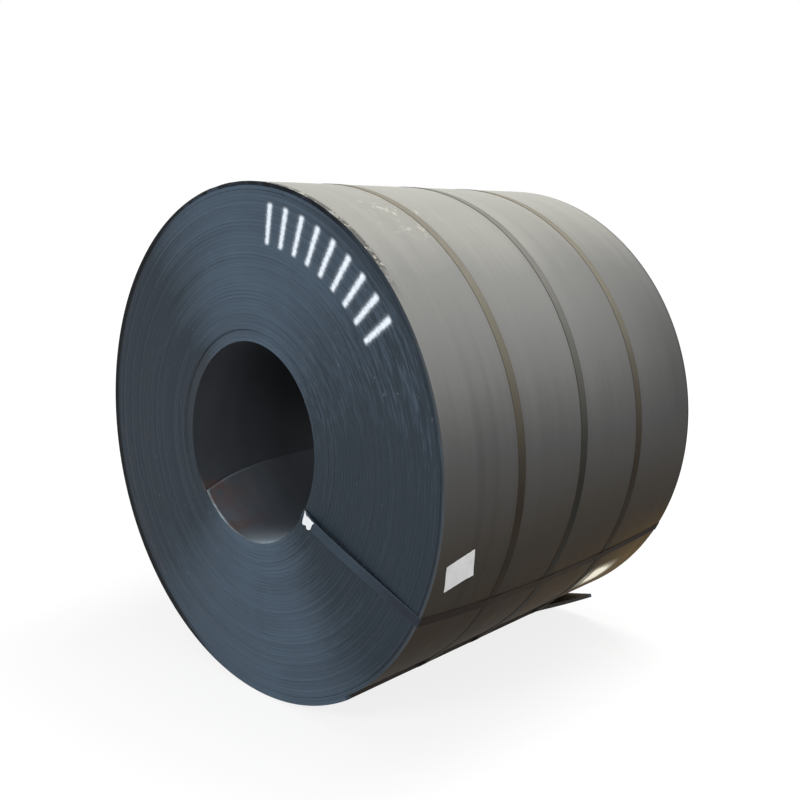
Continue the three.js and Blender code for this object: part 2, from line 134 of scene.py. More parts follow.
class Reading:
    """A shader socket that takes part in sums, which add their Math nodes."""

    def __init__(self, recipe: "Recipe", socket: bpy.types.NodeSocket) -> None:
        """Keeps the socket and the recipe that it belongs to."""
        self.recipe = recipe
        self.socket = socket

    def _sum(self, operation: str, *terms: "Reading | float") -> "Reading":
        """One Math node over the terms, in their order."""
        return self.recipe.read("ShaderNodeMath", {"operation": operation}, dict(enumerate(terms)))

    def __add__(self, other: "Reading | float") -> "Reading":
        """Sum of two values."""
        return self._sum("ADD", self, other)

    __radd__ = __add__

    def __sub__(self, other: "Reading | float") -> "Reading":
        """This value less another."""
        return self._sum("SUBTRACT", self, other)

    def __rsub__(self, other: float) -> "Reading":
        """A number less this value."""
        return self._sum("SUBTRACT", other, self)

    def __mul__(self, other: "Reading | float") -> "Reading":
        """Product of two values."""
        return self._sum("MULTIPLY", self, other)

    __rmul__ = __mul__

    def __truediv__(self, other: "Reading | float") -> "Reading":
        """This value over another."""
        return self._sum("DIVIDE", self, other)

    def __abs__(self) -> "Reading":
        """The value without its sign."""
        return self._sum("ABSOLUTE", self)

    def __mod__(self, other: float) -> "Reading":
        """Remainder, always positive."""
        return self._sum("FLOORED_MODULO", self, other)

    def at_least(self, other: "Reading | float") -> "Reading":
        """The larger of two values."""
        return self._sum("MAXIMUM", self, other)

    def at_most(self, other: "Reading | float") -> "Reading":
        """The smaller of two values."""
        return self._sum("MINIMUM", self, other)

    def degrees_from(self, other: "Reading") -> "Reading":
        """Angle in degrees of a point whose height is this value and whose width is the other."""
        return self._sum("ARCTAN2", self, other) * math.degrees(1.0)

    def swing(self, amount: float) -> "Reading":
        """A noise made to vary about 0, by up to half the amount either way."""
        return (self - 0.5) * amount

    def rise(self, low: float, high: float, to_low: float = 0.0, to_high: float = 1.0) -> "Reading":
        """Smooth rise between two levels.

        Args:
            low: Value at which the rise starts.
            high: Value at which it ends; below low, the rise is a fall.
            to_low: Result at low.
            to_high: Result at high.

        Returns:
            The mapped value.
        """
        (low, to_low), (high, to_high) = sorted([(low, to_low), (high, to_high)])
        values = {"Value": self, "From Min": low, "From Max": high, "To Min": to_low, "To Max": to_high}
        return self.recipe.read("ShaderNodeMapRange", {"interpolation_type": "SMOOTHSTEP"}, values)

    def bump(self, centre: float, reach: float) -> "Reading":
        """A soft hill of height 1 at a value, which is flat beyond its reach."""
        return abs(self - centre).rise(reach, 0.0)


class Recipe:
    """A material or a sky under construction, with one method for every kind of node."""

    def __init__(self, owner: Material | bpy.types.World) -> None:
        """Starts an empty node tree.

        Args:
            owner: The material or the sky.
        """
        self.owner = owner
        owner.use_nodes = True
        self.tree = owner.node_tree
        self.tree.nodes.clear()

    def node(self, kind: str, settings: Mapping[str, Any] = NOTHING,
             values: Mapping[Any, Any] = NOTHING) -> bpy.types.Node:
        """Adds a node.

        Args:
            kind: Blender's type of node.
            settings: Its properties, set first; "stops" holds a ramp's places and colours.
            values: Numbers, colours or readings for its sockets, by name or place.

        Returns:
            The node.
        """
        made = self.tree.nodes.new(kind)
        for name, value in settings.items():
            if name == "stops":
                self._fill_ramp(made.color_ramp, value)
            else:
                setattr(made, name, value)
        for key, value in values.items():
            if isinstance(value, Reading):
                self.tree.links.new(value.socket, made.inputs[key])
            else:
                made.inputs[key].default_value = value
        return made

    @staticmethod
    def _fill_ramp(ramp: bpy.types.ColorRamp, stops: Sequence[tuple[float, Colour]]) -> None:
        """Gives a ramp its stops.

        Args:
            ramp: The ramp.
            stops: Places from 0 to 1, in order, and their colours.
        """
        while len(ramp.elements) < len(stops):
            ramp.elements.new(1.0)
        for element, (place, colour) in zip(ramp.elements, stops):
            element.position = place
            element.color = (*colour, 1.0)

    def read(self, kind: str, settings: Mapping[str, Any] = NOTHING,
             values: Mapping[Any, Any] = NOTHING, out: int | str = 0) -> Reading:
        """Adds a node and reads one of its outputs, by name or place."""
        return Reading(self, self.node(kind, settings, values).outputs[out])

    def blend(self, share: Reading | float, first: Any, second: Any, mode: str = "MIX") -> Reading:
        """Mixes two colours.

        Args:
            share: Share of the second colour.
            first: Colour or reading.
            second: Colour or reading.
            mode: Blender's way of mixing.

        Returns:
            The mixed colour.
        """
        sides = [(*c, 1.0) if isinstance(c, tuple) else c for c in (first, second)]
        settings = {"data_type": "RGBA", "blend_type": mode, "clamp_factor": True}
        return self.read("ShaderNodeMix", settings, {0: share, 6: sides[0], 7: sides[1]}, 2)

    def coats(self, body: Any, *coats: tuple[Reading, Any]) -> Reading:
        """Lays coats over a colour, each over the last.

        Args:
            body: Colour or reading below them all.
            coats: What share each coat covers, and its colour or reading.

        Returns:
            The colour seen.
        """
        for share, colour in coats:
            body = self.blend(share, body, colour)
        return body

    def shade(self, body: Reading, light: Reading) -> Reading:
        """A colour made darker or lighter."""
        return self.blend(1.0, body, self.grey(light), "MULTIPLY")

    def vector(self, operation: str, *terms: Any, out: int | str = 0) -> Reading:
        """One Vector Math node over the terms, in their order."""
        return self.read("ShaderNodeVectorMath", {"operation": operation}, dict(enumerate(terms)), out)

    def parts(self, vector: Reading) -> list[Reading]:
        """The three parts of a vector."""
        split = self.node("ShaderNodeSeparateXYZ", values={0: vector})
        return [Reading(self, socket) for socket in split.outputs]

    def join(self, x: Any, y: Any, z: Any) -> Reading:
        """A vector from its three parts."""
        return self.read("ShaderNodeCombineXYZ", values={0: x, 1: y, 2: z})

    def grey(self, level: Reading) -> Reading:
        """A grey of a level."""
        return self.join(level, level, level)

    @cached_property
    def place(self) -> Reading:
        """Place on the object, in metres in the shared frame."""
        return self.read("ShaderNodeTexCoord", out="Object")

    @cached_property
    def tint(self) -> Reading:
        """The tint that the mesh holds at each of its points."""
        return self.read("ShaderNodeAttribute", {"attribute_name": "tint"}, out="Fac")

    def seen(self) -> Reading:
        """Reads whether a ray comes from the camera, straight or by way of a mirror or glass.

        Returns:
            1 where it does, otherwise 0.
        """
        path = self.node("ShaderNodeLightPath")
        camera, mirror, glass = (
            Reading(self, path.outputs[f"Is {ray} Ray"]) for ray in ("Camera", "Glossy", "Transmission")
        )
        return camera.at_least(mirror).at_least(glass)

    def noise(self, scale: float, detail: float = 3.0, roughness: float = 0.55,
              at: Reading | None = None) -> Reading:
        """Soft noise from about 0.3 to 0.7, by spots a metre, number of finer layers and their strength."""
        values = {"Vector": at or self.place, "Scale": scale, "Detail": detail, "Roughness": roughness}
        return self.read("ShaderNodeTexNoise", values=values)

    def finish(self, values: Mapping[str, Any], relief: Reading | None = None,
               depth: float = 0.0) -> Material:
        """Closes the material with its shader.

        Args:
            values: Values for the shader's sockets.
            relief: Height for a bump, or nothing.
            depth: Height of the bump in metres.

        Returns:
            The finished material.
        """
        sockets = dict(values)
        if relief is not None:
            bumped = {"Strength": 1.0, "Distance": depth, "Height": relief}
            sockets["Normal"] = self.read("ShaderNodeBump", values=bumped)
        shader = self.read("ShaderNodeBsdfPrincipled", values=sockets)
        self.node("ShaderNodeOutputMaterial", values={"Surface": shader})
        return self.owner


class CoilRecipe(Recipe):
    """A material of the coil or its straps, which reads places about the coil's axis."""

    def __init__(self, name: str, axis: Place) -> None:
        """Reads each place's height, way off the axis, radius, angle and place along the coil.

        Args:
            name: Name of the material.
            axis: Middle of the coil.
        """
        super().__init__(bpy.data.materials.new(name))
        off = self.vector("MULTIPLY", self.vector("SUBTRACT", self.place, axis), (1, 0, 1))
        x, _, self.height = self.parts(off)
        self.round = self.vector("NORMALIZE", off)
        self.radius = self.vector("LENGTH", off, out="Value")
        self.angle = self.height.degrees_from(x)
        self.turned = self.angle % FULL_TURN
        self.y = self.parts(self.place)[1] - axis[1]

    def streaks(self, short: float, fine: float, detail: float, roughness: float = 0.55,
                across: Reading | None = None) -> Reading:
        """Noise in long streaks round the coil.

        Args:
            short: How short the streaks are, in spots over the coil's radius.
            fine: How many there are in a metre across them.
            detail: Number of finer layers.
            roughness: Strength of the finer layers.
            across: What grows from streak to streak, if not the place along the coil.

        Returns:
            The noise.
        """
        long_way = self.vector("MULTIPLY", self.round, (short, short, short))
        side_way = self.join(0.0, (across or self.y) * fine, 0.0)
        return self.noise(1.0, detail, roughness, self.vector("ADD", long_way, side_way))


# Meshes --------------------------------------------------------------------------------------


class Sheet:
    """A mesh under construction from points and four-sided patches."""

    def __init__(self) -> None:
        """Starts with nothing in it."""
        self.points: list[Array] = []
        self.tints: list[Array] = []
        self.faces: list[list[int]] = []
        self.slots: list[int] = []
        self.count = 0

    def add_points(self, points: Array, tint: Values = 0.5) -> Array:
        """Adds points of any grid shape.

        Args:
            points: Places, with x, y and z last.
            tint: A number for each point, which its finish reads.

        Returns:
            Their numbers in the mesh, in the grid's shape.
        """
        flat = points.reshape(-1, 3)
        numbers = np.arange(self.count, self.count + len(flat)).reshape(points.shape[:-1])
        self.points.append(flat)
        self.tints.append(np.broadcast_to(tint, points.shape[:-1]).reshape(-1))
        self.count += len(flat)
        return numbers

    def add_strip(self, first: Array, second: Array, slot: int = 0, flip: bool = False) -> None:
        """Adds the patches between two rows of points.

        Args:
            first: Numbers of the first row.
            second: Numbers of the second row.
            slot: Material of the patches.
            flip: Whether the patches face the other way.
        """
        corners = np.stack([first[:-1], first[1:], second[1:], second[:-1]], axis=-1).reshape(-1, 4)
        if flip:
            corners = corners[:, ::-1]
        for quad in corners.tolist():
            kept = [n for i, n in enumerate(quad) if n != quad[i - 1]]
            if len(set(kept)) > 2:
                self.faces.append(kept)
                self.slots.append(slot)

    def add_grid(self, grid: Array, slot: int = 0, flip: bool = False) -> None:
        """Adds the patches of a whole grid of point numbers."""
        for first, second in zip(grid[:-1], grid[1:]):
            self.add_strip(first, second, slot, flip)

    def add_bar(self, points: Array, tint: Array, closed: bool) -> None:
        """Adds a section swept along a line, with a face at each end.

        Args:
            points: Places by step along the line and by corner of the section.
            tint: Tint of each corner.
            closed: Whether the section's last corner joins its first.
        """
        numbers = self.add_points(points, tint)
        self.add_grid(np.concatenate([numbers, numbers[:, :1]], axis=1) if closed else numbers)
        for face in (numbers[0][::-1], numbers[-1]):
            self.faces.append(face.tolist())
            self.slots.append(0)

    def build(self, name: str, materials: Sequence[Material], crease: float = 40.0) -> Piece:
        """Makes the object.

        Args:
            name: Name of the object.
            materials: Its materials, in the order of the slots.
            crease: Angle in degrees above which an edge stays sharp.

        Returns:
            The object, linked to the scene.
        """
        mesh = bpy.data.meshes.new(name)
        mesh.from_pydata(np.concatenate(self.points).tolist(), [], self.faces)
        mesh.polygons.foreach_set("material_index", np.array(self.slots, np.int32))
        mesh.polygons.foreach_set("use_smooth", np.ones(len(self.faces), bool))
        held = mesh.attributes.new("tint", "FLOAT", "POINT")
        held.data.foreach_set("value", np.concatenate(self.tints).astype(np.float32))
        for material in materials:
            mesh.materials.append(material)
        mesh.update()
        mesh.set_sharp_from_angle(angle=math.radians(crease))
        made = bpy.data.objects.new(name, mesh)
        bpy.context.scene.collection.objects.link(made)
        return made


# The winding ---------------------------------------------------------------------------------


@dataclass(frozen=True)
class Winding:
    """Sizes of the wound strip, and the middle of its axis."""

    axis: Place
    half_width: float = 0.625
    thickness: float = 0.012
    outer_radius: float = 0.8
    bore_radius: float = 0.305
    bore_shift: float = 0.0105
    bore_shift_angle: float = 119.0
    bore_oval: float = 0.0095
    bore_oval_angle: float = 71.0
    head_angle: float = -155.0
    head_hold: float = 200.0
    head_power: float = 4.0
    tail_hold: float = 90.0
    lift_angle: float = -76.5
    lift_start: float = 0.3043
    lift_power: float = 0.8
    per_turn: int = 242
    whole_turns: int = 40
    last_part: int = 65
    head_rows: int = 8

    @property
    def step(self) -> float:
        """Angle between two neighbouring samples."""
        return FULL_TURN / self.per_turn

    @property
    def last(self) -> int:
        """Number of the last sample, at the strip's outer end."""
        return self.whole_turns * self.per_turn + self.last_part

    @property
    def rim_from(self) -> int:
        """Number of the first sample of the outermost turn."""
        return self.last - self.per_turn

    @property
    def tail_angle(self) -> float:
        """Angle of the strip's outer end."""
        return self.head_angle + self.last_part * self.step

    def at(self, angle: Values, radius: Values, y: Values) -> Array:
        """Places at angles and radii, this far along the coil from its middle."""
        angle, radius, y = np.broadcast_arrays(angle, radius, y)
        return np.array(self.axis) + radius[..., None] * way(angle) + y[..., None] * ALONG_COIL

    @staticmethod
    def share_left(past_end: Array, hold: float) -> Array:
        """Share of the strip's thickness left this far past its end."""
        return np.clip((FULL_TURN - past_end) / (FULL_TURN - hold), 0.0, 1.0)

    def outside(self, angle: Values) -> Array:
        """Radius of the outside at each angle."""
        before_end = np.mod(self.tail_angle - angle, FULL_TURN)
        return self.outer_radius - self.thickness * (1.0 - self.share_left(before_end, self.tail_hold))

    def slack(self, angle: Values) -> Array:
        """How far the slack in the turns has moved the bore's edge off its circle at each angle."""
        shift = self.bore_shift * np.cos(np.radians(angle - self.bore_shift_angle))
        return shift + self.bore_oval * np.cos(2.0 * np.radians(angle - self.bore_oval_angle))

    def lifted(self, angle: Array, radius: Array, y: Array) -> Array:
        """Places on the strip's last stretch, whose back corner straightens off the coil.

        Args:
            angle: Angles past the one where the lift starts.
            radius: Radii as wound.
            y: Places along the coil from its middle.

        Returns:
            Places in the shared frame.
        """
        wound = self.at(angle, radius, y)
        run = np.radians(np.mod(angle - self.lift_angle, FULL_TURN)) * self.outer_radius
        straight = self.at(self.lift_angle, radius, y)
        straight = straight + run[..., None] * way(self.lift_angle + QUARTER_TURN)
        share = np.clip((y - self.lift_start) / (self.half_width - self.lift_start), 0.0, 1.0)
        return wound + (straight - wound) * (share ** self.lift_power)[..., None]


# Finishes ------------------------------------------------------------------------------------


@dataclass(frozen=True)
class OutsideFinish:
    """Mill scale on the outside: satin grey, paler above and brown below, partly dust and oil, partly
    painted light from above and a painted warm reflection from below.
    """

    winding: Winding
    above: Colour = srgb(146, 146, 140)
    upper: Colour = srgb(134, 133, 127)
    shoulder: Colour = srgb(114, 114, 112)
    side: Colour = srgb(106, 106, 105)
    waist: Colour = srgb(84, 84, 84)
    lower: Colour = srgb(69, 65, 60)
    below: Colour = srgb(47, 39, 29)
    rust: Colour = srgb(84, 63, 38)
    pale: Colour = srgb(206, 202, 184)
    bare: Colour = srgb(244, 236, 212)
    warm_reflection: Colour = srgb(118, 96, 58)
    bruise_and_shade: Colour = srgb(56, 56, 54)

    def make(self) -> Material:
        """Makes the material.

        Returns:
            The finished material.
        """
        on = CoilRecipe("mill_scale_outside", self.winding.axis)
        streaks = on.streaks(0.5, 16.0, 4.0, 0.6)
        hair = on.streaks(2.0, 240.0, 3.0, 0.6)
        clouds = on.noise(2.6, 4.0)
        grain = on.noise(190.0, 2.0, 0.6)
        # Tones by height: partly dust and oil, partly painted light from above and a painted warm reflection
        # below.
        level = on.height / (2 * self.winding.outer_radius) + 0.5 + clouds.swing(0.08) + streaks.swing(0.08)
        tones = on.read("ShaderNodeValToRGB", {"stops": [
            (0.0, self.below), (0.24, self.below), (0.4, self.lower), (0.54, self.waist),
            (0.67, self.side), (0.83, self.shoulder), (0.92, self.upper), (1.0, self.above),
        ]}, {0: level})
        light = streaks.swing(0.2) + hair.swing(0.12) + grain.swing(0.1) + 1.0
        bands = on.y.bump(-0.481, 0.03) * 0.5 + on.y.bump(-0.418, 0.022) * 0.35
        light = light - bands * on.height.rise(0.66, 0.1) * 0.28
        # Painted shade on the right side towards the back.
        light = light - on.y.rise(0.3, 0.62) * on.angle.bump(18.0, 34.0) * 0.34
        # Painted light on the upper right side towards the front.
        light = light + on.y.rise(0.45, -0.1) * on.angle.bump(33.0, 35.0) * 0.25
        stain = on.noise(7.0, 5.0, 0.65).rise(0.53, 0.72)
        low = on.height.rise(-0.1, -0.62)
        # A painted warm reflection, golden brown: low on the right towards the back, and faintly along the
        # bottom.
        warm_reflection = on.y.rise(0.25, 0.6) * on.angle.bump(-44.0, 26.0) + low * on.y.rise(-0.3, 0.5) * 0.3
        worn = self._worn(on)
        rim = on.y.rise(-0.601, -0.609) * on.angle.bump(74.0, 42.0).rise(0.0, 0.3)
        rubbed = on.noise(30.0, 4.0, 0.65).rise(0.38, 0.5)
        far_rim = on.y.rise(0.611, 0.619) * on.angle.bump(45.0, 75.0).rise(0.0, 0.4)
        body = on.coats(
            on.shade(tones, light), (stain * low * 0.5, self.rust), (warm_reflection * 0.85, self.warm_reflection),
            (self._scuffs(on) * 0.5, self.pale), (worn, self.bare), (rim * rubbed * 0.85, self.bruise_and_shade),
            (far_rim * 0.6, self.bruise_and_shade), (self._rim_chips(on), self.bare),
        )
        rough = streaks.swing(0.25) + clouds.swing(0.15) + on.height.rise(0.1, -0.3, 0.5, 0.74) - worn * 0.35
        values = {"Base Color": body, "Roughness": rough, "Metallic": worn, "Specular IOR Level": 0.1}
        return on.finish(values, hair * 0.6 + grain * 0.4, 0.25 * MILLIMETRE)

    @staticmethod
    def _scuffs(on: CoilRecipe) -> Reading:
        """Pale rub marks on the upper front."""
        upper = on.y.bump(-0.36, 0.19) * on.angle.bump(62.0, 14.0)
        return upper * on.noise(34.0, 4.0, 0.7).rise(0.55, 0.66)

    @staticmethod
    def _worn(on: CoilRecipe) -> Reading:
        """A patch low at the back, worn pale."""
        patch = on.y.bump(0.405, 0.12) * on.angle.bump(-42.5, 6.0)
        return (patch * on.streaks(5.0, 26.0, 4.0, 0.6).rise(0.3, 0.58) * 2.0).at_most(1.0)

    @staticmethod
    def _rim_chips(on: CoilRecipe) -> Reading:
        """Small bright chips along the front rim at the top."""
        rim = on.y.rise(-0.598, -0.61) * on.angle.bump(74.0, 40.0).rise(0.0, 0.3)
        return rim * on.noise(66.0, 2.0, 0.5).rise(0.62, 0.68) * 0.5


@dataclass(frozen=True)
class BoreFinish:
    """Mill scale in the bore: nearly black, with rust about the strip's inner end; painted light low near
    the front, painted highlights on its edges and painted shade on the upper left wall.
    """

    winding: Winding
    head_corner: float = 12.0
    # The lower colour is painted light on the lower wall near the front.
    upper: Colour = srgb(70, 73, 78)
    lower: Colour = srgb(94, 100, 108)
    # Colour of the painted light and highlights in the bore, and of its lip, which is partly rubbed bright.
    rubbed: Colour = srgb(224, 242, 255)
    # Painted shade on the upper left wall, before the strip's inner end.
    shade: Colour = srgb(38, 41, 46)
    rust: Colour = srgb(104, 66, 50)

    def make(self) -> Material:
        """Makes the material.

        Returns:
            The finished material.
        """
        w = self.winding
        on = CoilRecipe("mill_scale_bore", w.axis)
        streaks = on.streaks(0.8, 18.0, 4.0)
        light = streaks.swing(0.4) + on.noise(6.0, 4.0, 0.6).swing(0.3) + 1.0
        # Painted light: the lower wall near the front is paler.
        low = on.turned.bump(262.0, 74.0) * on.y.rise(-0.2, -0.62)
        # Painted light falling in at the front of the bore's floor.
        glow = on.y.rise(-0.38, -0.61) * on.angle.bump(-62.0, 50.0)
        # The lip at the front of the floor: partly rubbed bright, partly painted sheen.
        lip = on.y.rise(-0.572, -0.606) * on.angle.bump(-65.0, 34.0)
        # A painted highlight along the front edge at the lower left.
        hem = on.y.rise(-0.614, -0.62) * on.angle.bump(-125.0, 34.0)
        square = on.y * on.y
        corner = square * square * (self.head_corner / w.half_width ** w.head_power)
        past_end = (on.angle - corner - w.head_angle) % FULL_TURN
        # A painted highlight along the strip's inner end.
        edge = past_end.rise(1.5, 0.7) * on.y.rise(-0.3, -0.6)
        near_end = on.angle.bump(-128.0, 29.0).rise(0.0, 0.4) * on.y.rise(-0.4, -0.6)
        specks = on.noise(21.0, 5.0, 0.65).rise(0.38, 0.66)
        # The shade colour over the upper left wall is painted shade.
        body = on.coats(
            on.shade(on.blend(low, self.upper, self.lower), light), (glow * 0.85 + lip * 0.7, self.rubbed),
            (hem * 0.6, self.rubbed), (past_end.rise(250.0, 350.0) * 0.55, self.shade),
            (edge * 0.1, self.rubbed), (near_end * specks * 0.48, self.rust),
        )
        rough = streaks.swing(0.2) + 0.38 - lip * 0.08
        values = {"Base Color": body, "Roughness": rough, "Specular IOR Level": 0.3}
        return on.finish(values, streaks, 0.4 * MILLIMETRE)


@dataclass(frozen=True)
class SprayedMarks:
    """A row of plain sprayed bars on the front end, standing across the turns."""

    count: int = 9
    first_angle: float = 83.5
    last_angle: float = 33.0
    inner: float = 0.620
    outer: float = 0.740
    half_bar: float = 0.092

    def mask(self, on: CoilRecipe) -> Reading:
        """Where the paint lies.

        Args:
            on: The material under construction.

        Returns:
            Paint from 0 to 1.
        """
        row = (self.first_angle - on.angle) / ((self.first_angle - self.last_angle) / self.count)
        off_bar = abs(row % 1.0 - 0.5) + on.noise(120.0, 2.0).swing(0.16)
        bar = off_bar.rise(self.half_bar + 0.12, self.half_bar - 0.07) + off_bar.rise(0.34, 0.1) * 0.12
        inside = row.rise(-0.01, 0.01) * row.rise(self.count + 0.01, self.count - 0.01)
        tall = on.radius.rise(self.inner - 0.004, self.inner + 0.008)
        tall = tall * on.radius.rise(self.outer + 0.004, self.outer - 0.008)
        return bar * inside * tall * on.y.rise(-0.58, -0.6)


@dataclass(frozen=True)
class EdgeFinish:
    """Cut edges of the strip: dark blue grey with fine turns, sprayed marks and a few bright nicks, painted
    sheen above and below the bore and painted shadow along the rims and in the gaps.

    The mesh's tint is a random tone from 0 to 1 along the strip, more than 1 on the outermost turn and
    less than 0 in the gap by the bore, where it carries painted shade.
    """

    winding: Winding
    marks: SprayedMarks = SprayedMarks()
    dark: Colour = srgb(22, 34, 44)
    light: Colour = srgb(82, 99, 116)
    outermost: Colour = srgb(84, 85, 84)
    # Painted shade on the strip's inner end deep in the bore.
    bruise_and_shade: Colour = srgb(26, 27, 30)
    # Near-black painted shadow for the dark lines along the rims and in the gaps.
    shadowed: Colour = srgb(12, 13, 16)
    paint: Colour = srgb(236, 243, 252)
    nick: Colour = srgb(132, 140, 150)
    # Painted light on the strip's inner end near the front of the bore.
    lit_end: Colour = srgb(84, 88, 94)
    tail_end: Colour = srgb(40, 35, 30)
    pitch: float = 0.0105

    def make(self) -> Material:
        """Makes the material.

        Returns:
            The finished material.
        """
        on = CoilRecipe("strip_edge", self.winding.axis)
        ring = on.streaks(1.1, 26.0, 4.0, across=on.radius)
        thin = on.streaks(1.1, 210.0, 2.0, across=on.radius)
        grain = on.noise(150.0, 3.0, 0.65)
        level = on.tint.rise(0.0, 1.0) * 0.08 + ring.swing(0.2) + thin.swing(0.6)
        level = level + on.noise(3.2, 4.0, 0.6).swing(0.45) + self._lit(on) + self._ripple(on)
        level = level + grain.swing(0.3) + self._brushed(on) * 0.33
        tones = on.read("ShaderNodeValToRGB", {"stops": [(0.0, self.dark), (1.0, self.light)]}, {0: level})
        dark_rims = self._dark_rims(on)
        nicks = on.noise(58.0, 2.0, 0.5).rise(0.72, 0.77)
        # The strip's cut ends: dark brown at the outer end; the inner end takes painted light near the front
        # of the bore and painted shade deeper in.
        cut = abs(on.y).rise(0.612, 0.604)
        inside = on.radius.rise(0.42, 0.4)
        deep = on.y.rise(-0.56, -0.3)
        ends = on.blend(inside, self.tail_end, on.blend(deep, self.lit_end, self.bruise_and_shade))
        body = on.coats(
            tones, (self._pale_rims(on), self.outermost), (dark_rims, self.shadowed),
            (nicks * 0.28, self.nick), (self.marks.mask(on) * 0.96, self.paint), (cut, ends),
        )
        # Metallic with a near-black colour deepens the painted shade of the dark lines and of the inner end
        # deep in the bore.
        painted_shade_metallic = (dark_rims + cut * inside * deep * 0.7).at_most(1.0)
        rough = grain.swing(0.3) + 0.6
        values = {"Base Color": body, "Metallic": painted_shade_metallic, "Roughness": rough, "Specular IOR Level": 0.25}
        return on.finish(values, grain * 0.3 + thin * 0.7, 0.5 * MILLIMETRE)

    def _ripple(self, on: CoilRecipe) -> Reading:
        """Fine turns that catch the light below the bore and, more faintly, above it.

        Args:
            on: The material under construction.

        Returns:
            Light to add.
        """
        turns = abs((on.radius / self.pitch) % 1.0 - 0.5) - 0.25
        where = on.angle.bump(-92.0, 34.0) + on.angle.bump(92.0, 40.0) * 0.5
        return turns * where * on.noise(9.0, 3.0, 0.6).rise(0.35, 0.6) * 0.42

    @staticmethod
    def _lit(on: CoilRecipe) -> Reading:
        """Painted sheen above and below the bore and at the upper right, painted shade at its sides, and the
        painted shadow of the outer turns by the rim at the upper right.

        Args:
            on: The material under construction.

        Returns:
            Light to add.
        """
        upright = abs(on.height / on.radius).rise(0.3, 1.0)
        upper_right = on.angle.bump(38.0, 32.0)
        left, right = on.turned.bump(168.0, 80.0), on.angle.bump(-18.0, 50.0)
        by_rim = on.radius.rise(0.725, 0.785) * on.angle.bump(48.0, 52.0)
        lit = upright * upright * upright * 0.6 + upper_right * 0.24
        return lit - left * 0.15 - right * 0.11 - by_rim * 0.34 - 0.11

    @staticmethod
    def _brushed(on: CoilRecipe) -> Reading:
        """Short light and dark strokes along the turns.

        Args:
            on: The material under construction.

        Returns:
            Strokes about zero.
        """
        strokes = on.streaks(9.0, 135.0, 3.0, 0.6, on.radius).rise(0.36, 0.64, -0.5, 0.5)
        by_rim = on.angle.bump(18.0, 40.0) * on.radius.rise(0.5, 0.74)
        return strokes * (on.angle.bump(5.0, 75.0) + by_rim)

    @staticmethod
    def _pale_rims(on: CoilRecipe) -> Reading:
        """Wear along the outermost and innermost turns.

        Args:
            on: The material under construction.

        Returns:
            Wear from 0 to 1.
        """
        outermost = on.tint.rise(1.4, 1.7) * on.angle.bump(-4.0, 56.0).rise(0.0, 0.5)
        innermost = on.radius.rise(0.352, 0.346) * on.turned.bump(135.0, 70.0)
        return outermost * 0.35 + innermost * 0.12

    @staticmethod
    def _dark_rims(on: CoilRecipe) -> Reading:
        """Painted shadow in dark lines: along the outermost turns, broken by wear, in a line just inside
        them and in the gap by the bore.

        Args:
            on: The material under construction.

        Returns:
            Dark from 0 to 1.
        """
        worn = on.noise(24.0, 3.0, 0.6).rise(0.3, 0.6, 0.55, 1.0)
        rim = on.tint.rise(0.9, 1.15) * on.turned.bump(150.0, 125.0).rise(0.0, 0.25)
        left = on.radius.rise(0.772, 0.778) * on.turned.bump(182.0, 84.0).rise(0.0, 0.35)
        right = on.radius.bump(0.7745, 0.004) * on.angle.bump(-5.0, 60.0).rise(0.0, 0.4)
        return (rim * worn + left).at_most(1.0) * 0.92 + right * 0.4 + on.tint.rise(-0.2, -1.3) * 0.5


@dataclass(frozen=True)
class StrapFinish:
    """Dark oiled steel strapping, paler above and black below, partly dust and partly painted light; painted
    shadow and a little rust along its edges, and a bluer painted copy of the light where it lies on an end
    face.
    """

    winding: Winding
    name: str = "strapping"
    above: Colour = srgb(122, 118, 107)
    below: Colour = srgb(51, 45, 39)
    # Painted shade low towards the coil's ends.
    far: Colour = srgb(34, 28, 20)
    rust: Colour = srgb(84, 64, 40)
    # Where the strap lies on an end face: a bluer painted copy of the light there, darker towards the rim,
    # with painted highlights along its edges.
    on_end: Colour = srgb(60, 70, 80)
    on_end_out: Colour = srgb(48, 52, 60)
    on_end_rim: Colour = srgb(96, 103, 110)
    # How far the edges go to the dark colour: painted shadow along the strap's edges.
    edge_shade: float = 0.3

    def make(self) -> Material:
        """Makes the material.

        Returns:
            The finished material.
        """
        on = CoilRecipe(self.name, self.winding.axis)
        clouds = on.noise(5.0, 4.0, 0.6)
        specks = on.noise(60.0, 4.0, 0.65)
        # Painted shade low towards the coil's ends.
        low_ends = abs(on.y).rise(0.1, 0.5) * on.height.rise(-0.2, -0.3)
        # On an end face: the bluer painted light, darker towards the rim, and painted highlights along the
        # edges.
        on_end = on.blend(on.radius.rise(0.5, 0.76), self.on_end, self.on_end_out)
        on_end = on.blend(on.tint.rise(0.55, 0.9) * 0.5, on_end, self.on_end_rim)
        at_end = abs(on.y).rise(0.6225, 0.6245)
        # Paler above, darker below: partly dust, partly painted light from above; then painted shadow on the
        # edges, painted shade low towards the ends, and the painted light of the end faces.
        body = on.coats(
            on.blend(on.height.rise(-0.15, 0.6), self.below, self.above),
            (on.tint.rise(0.3, 0.8) * self.edge_shade, self.below), (low_ends, self.far), (at_end, on_end),
        )
        body = on.shade(body, clouds.swing(0.5) + specks.swing(0.3) + 1.0)
        rusty = (on.tint.rise(0.25, 1.0) * 0.6 + 0.1) * (specks * 0.7 + clouds * 0.5).rise(0.5, 0.74)
        body = on.blend(rusty * (1.0 - at_end), body, self.rust)
        values = {"Base Color": body, "Roughness": specks.swing(0.3) + 0.64, "Specular IOR Level": 0.04}
        return on.finish(values, specks, 0.15 * MILLIMETRE)


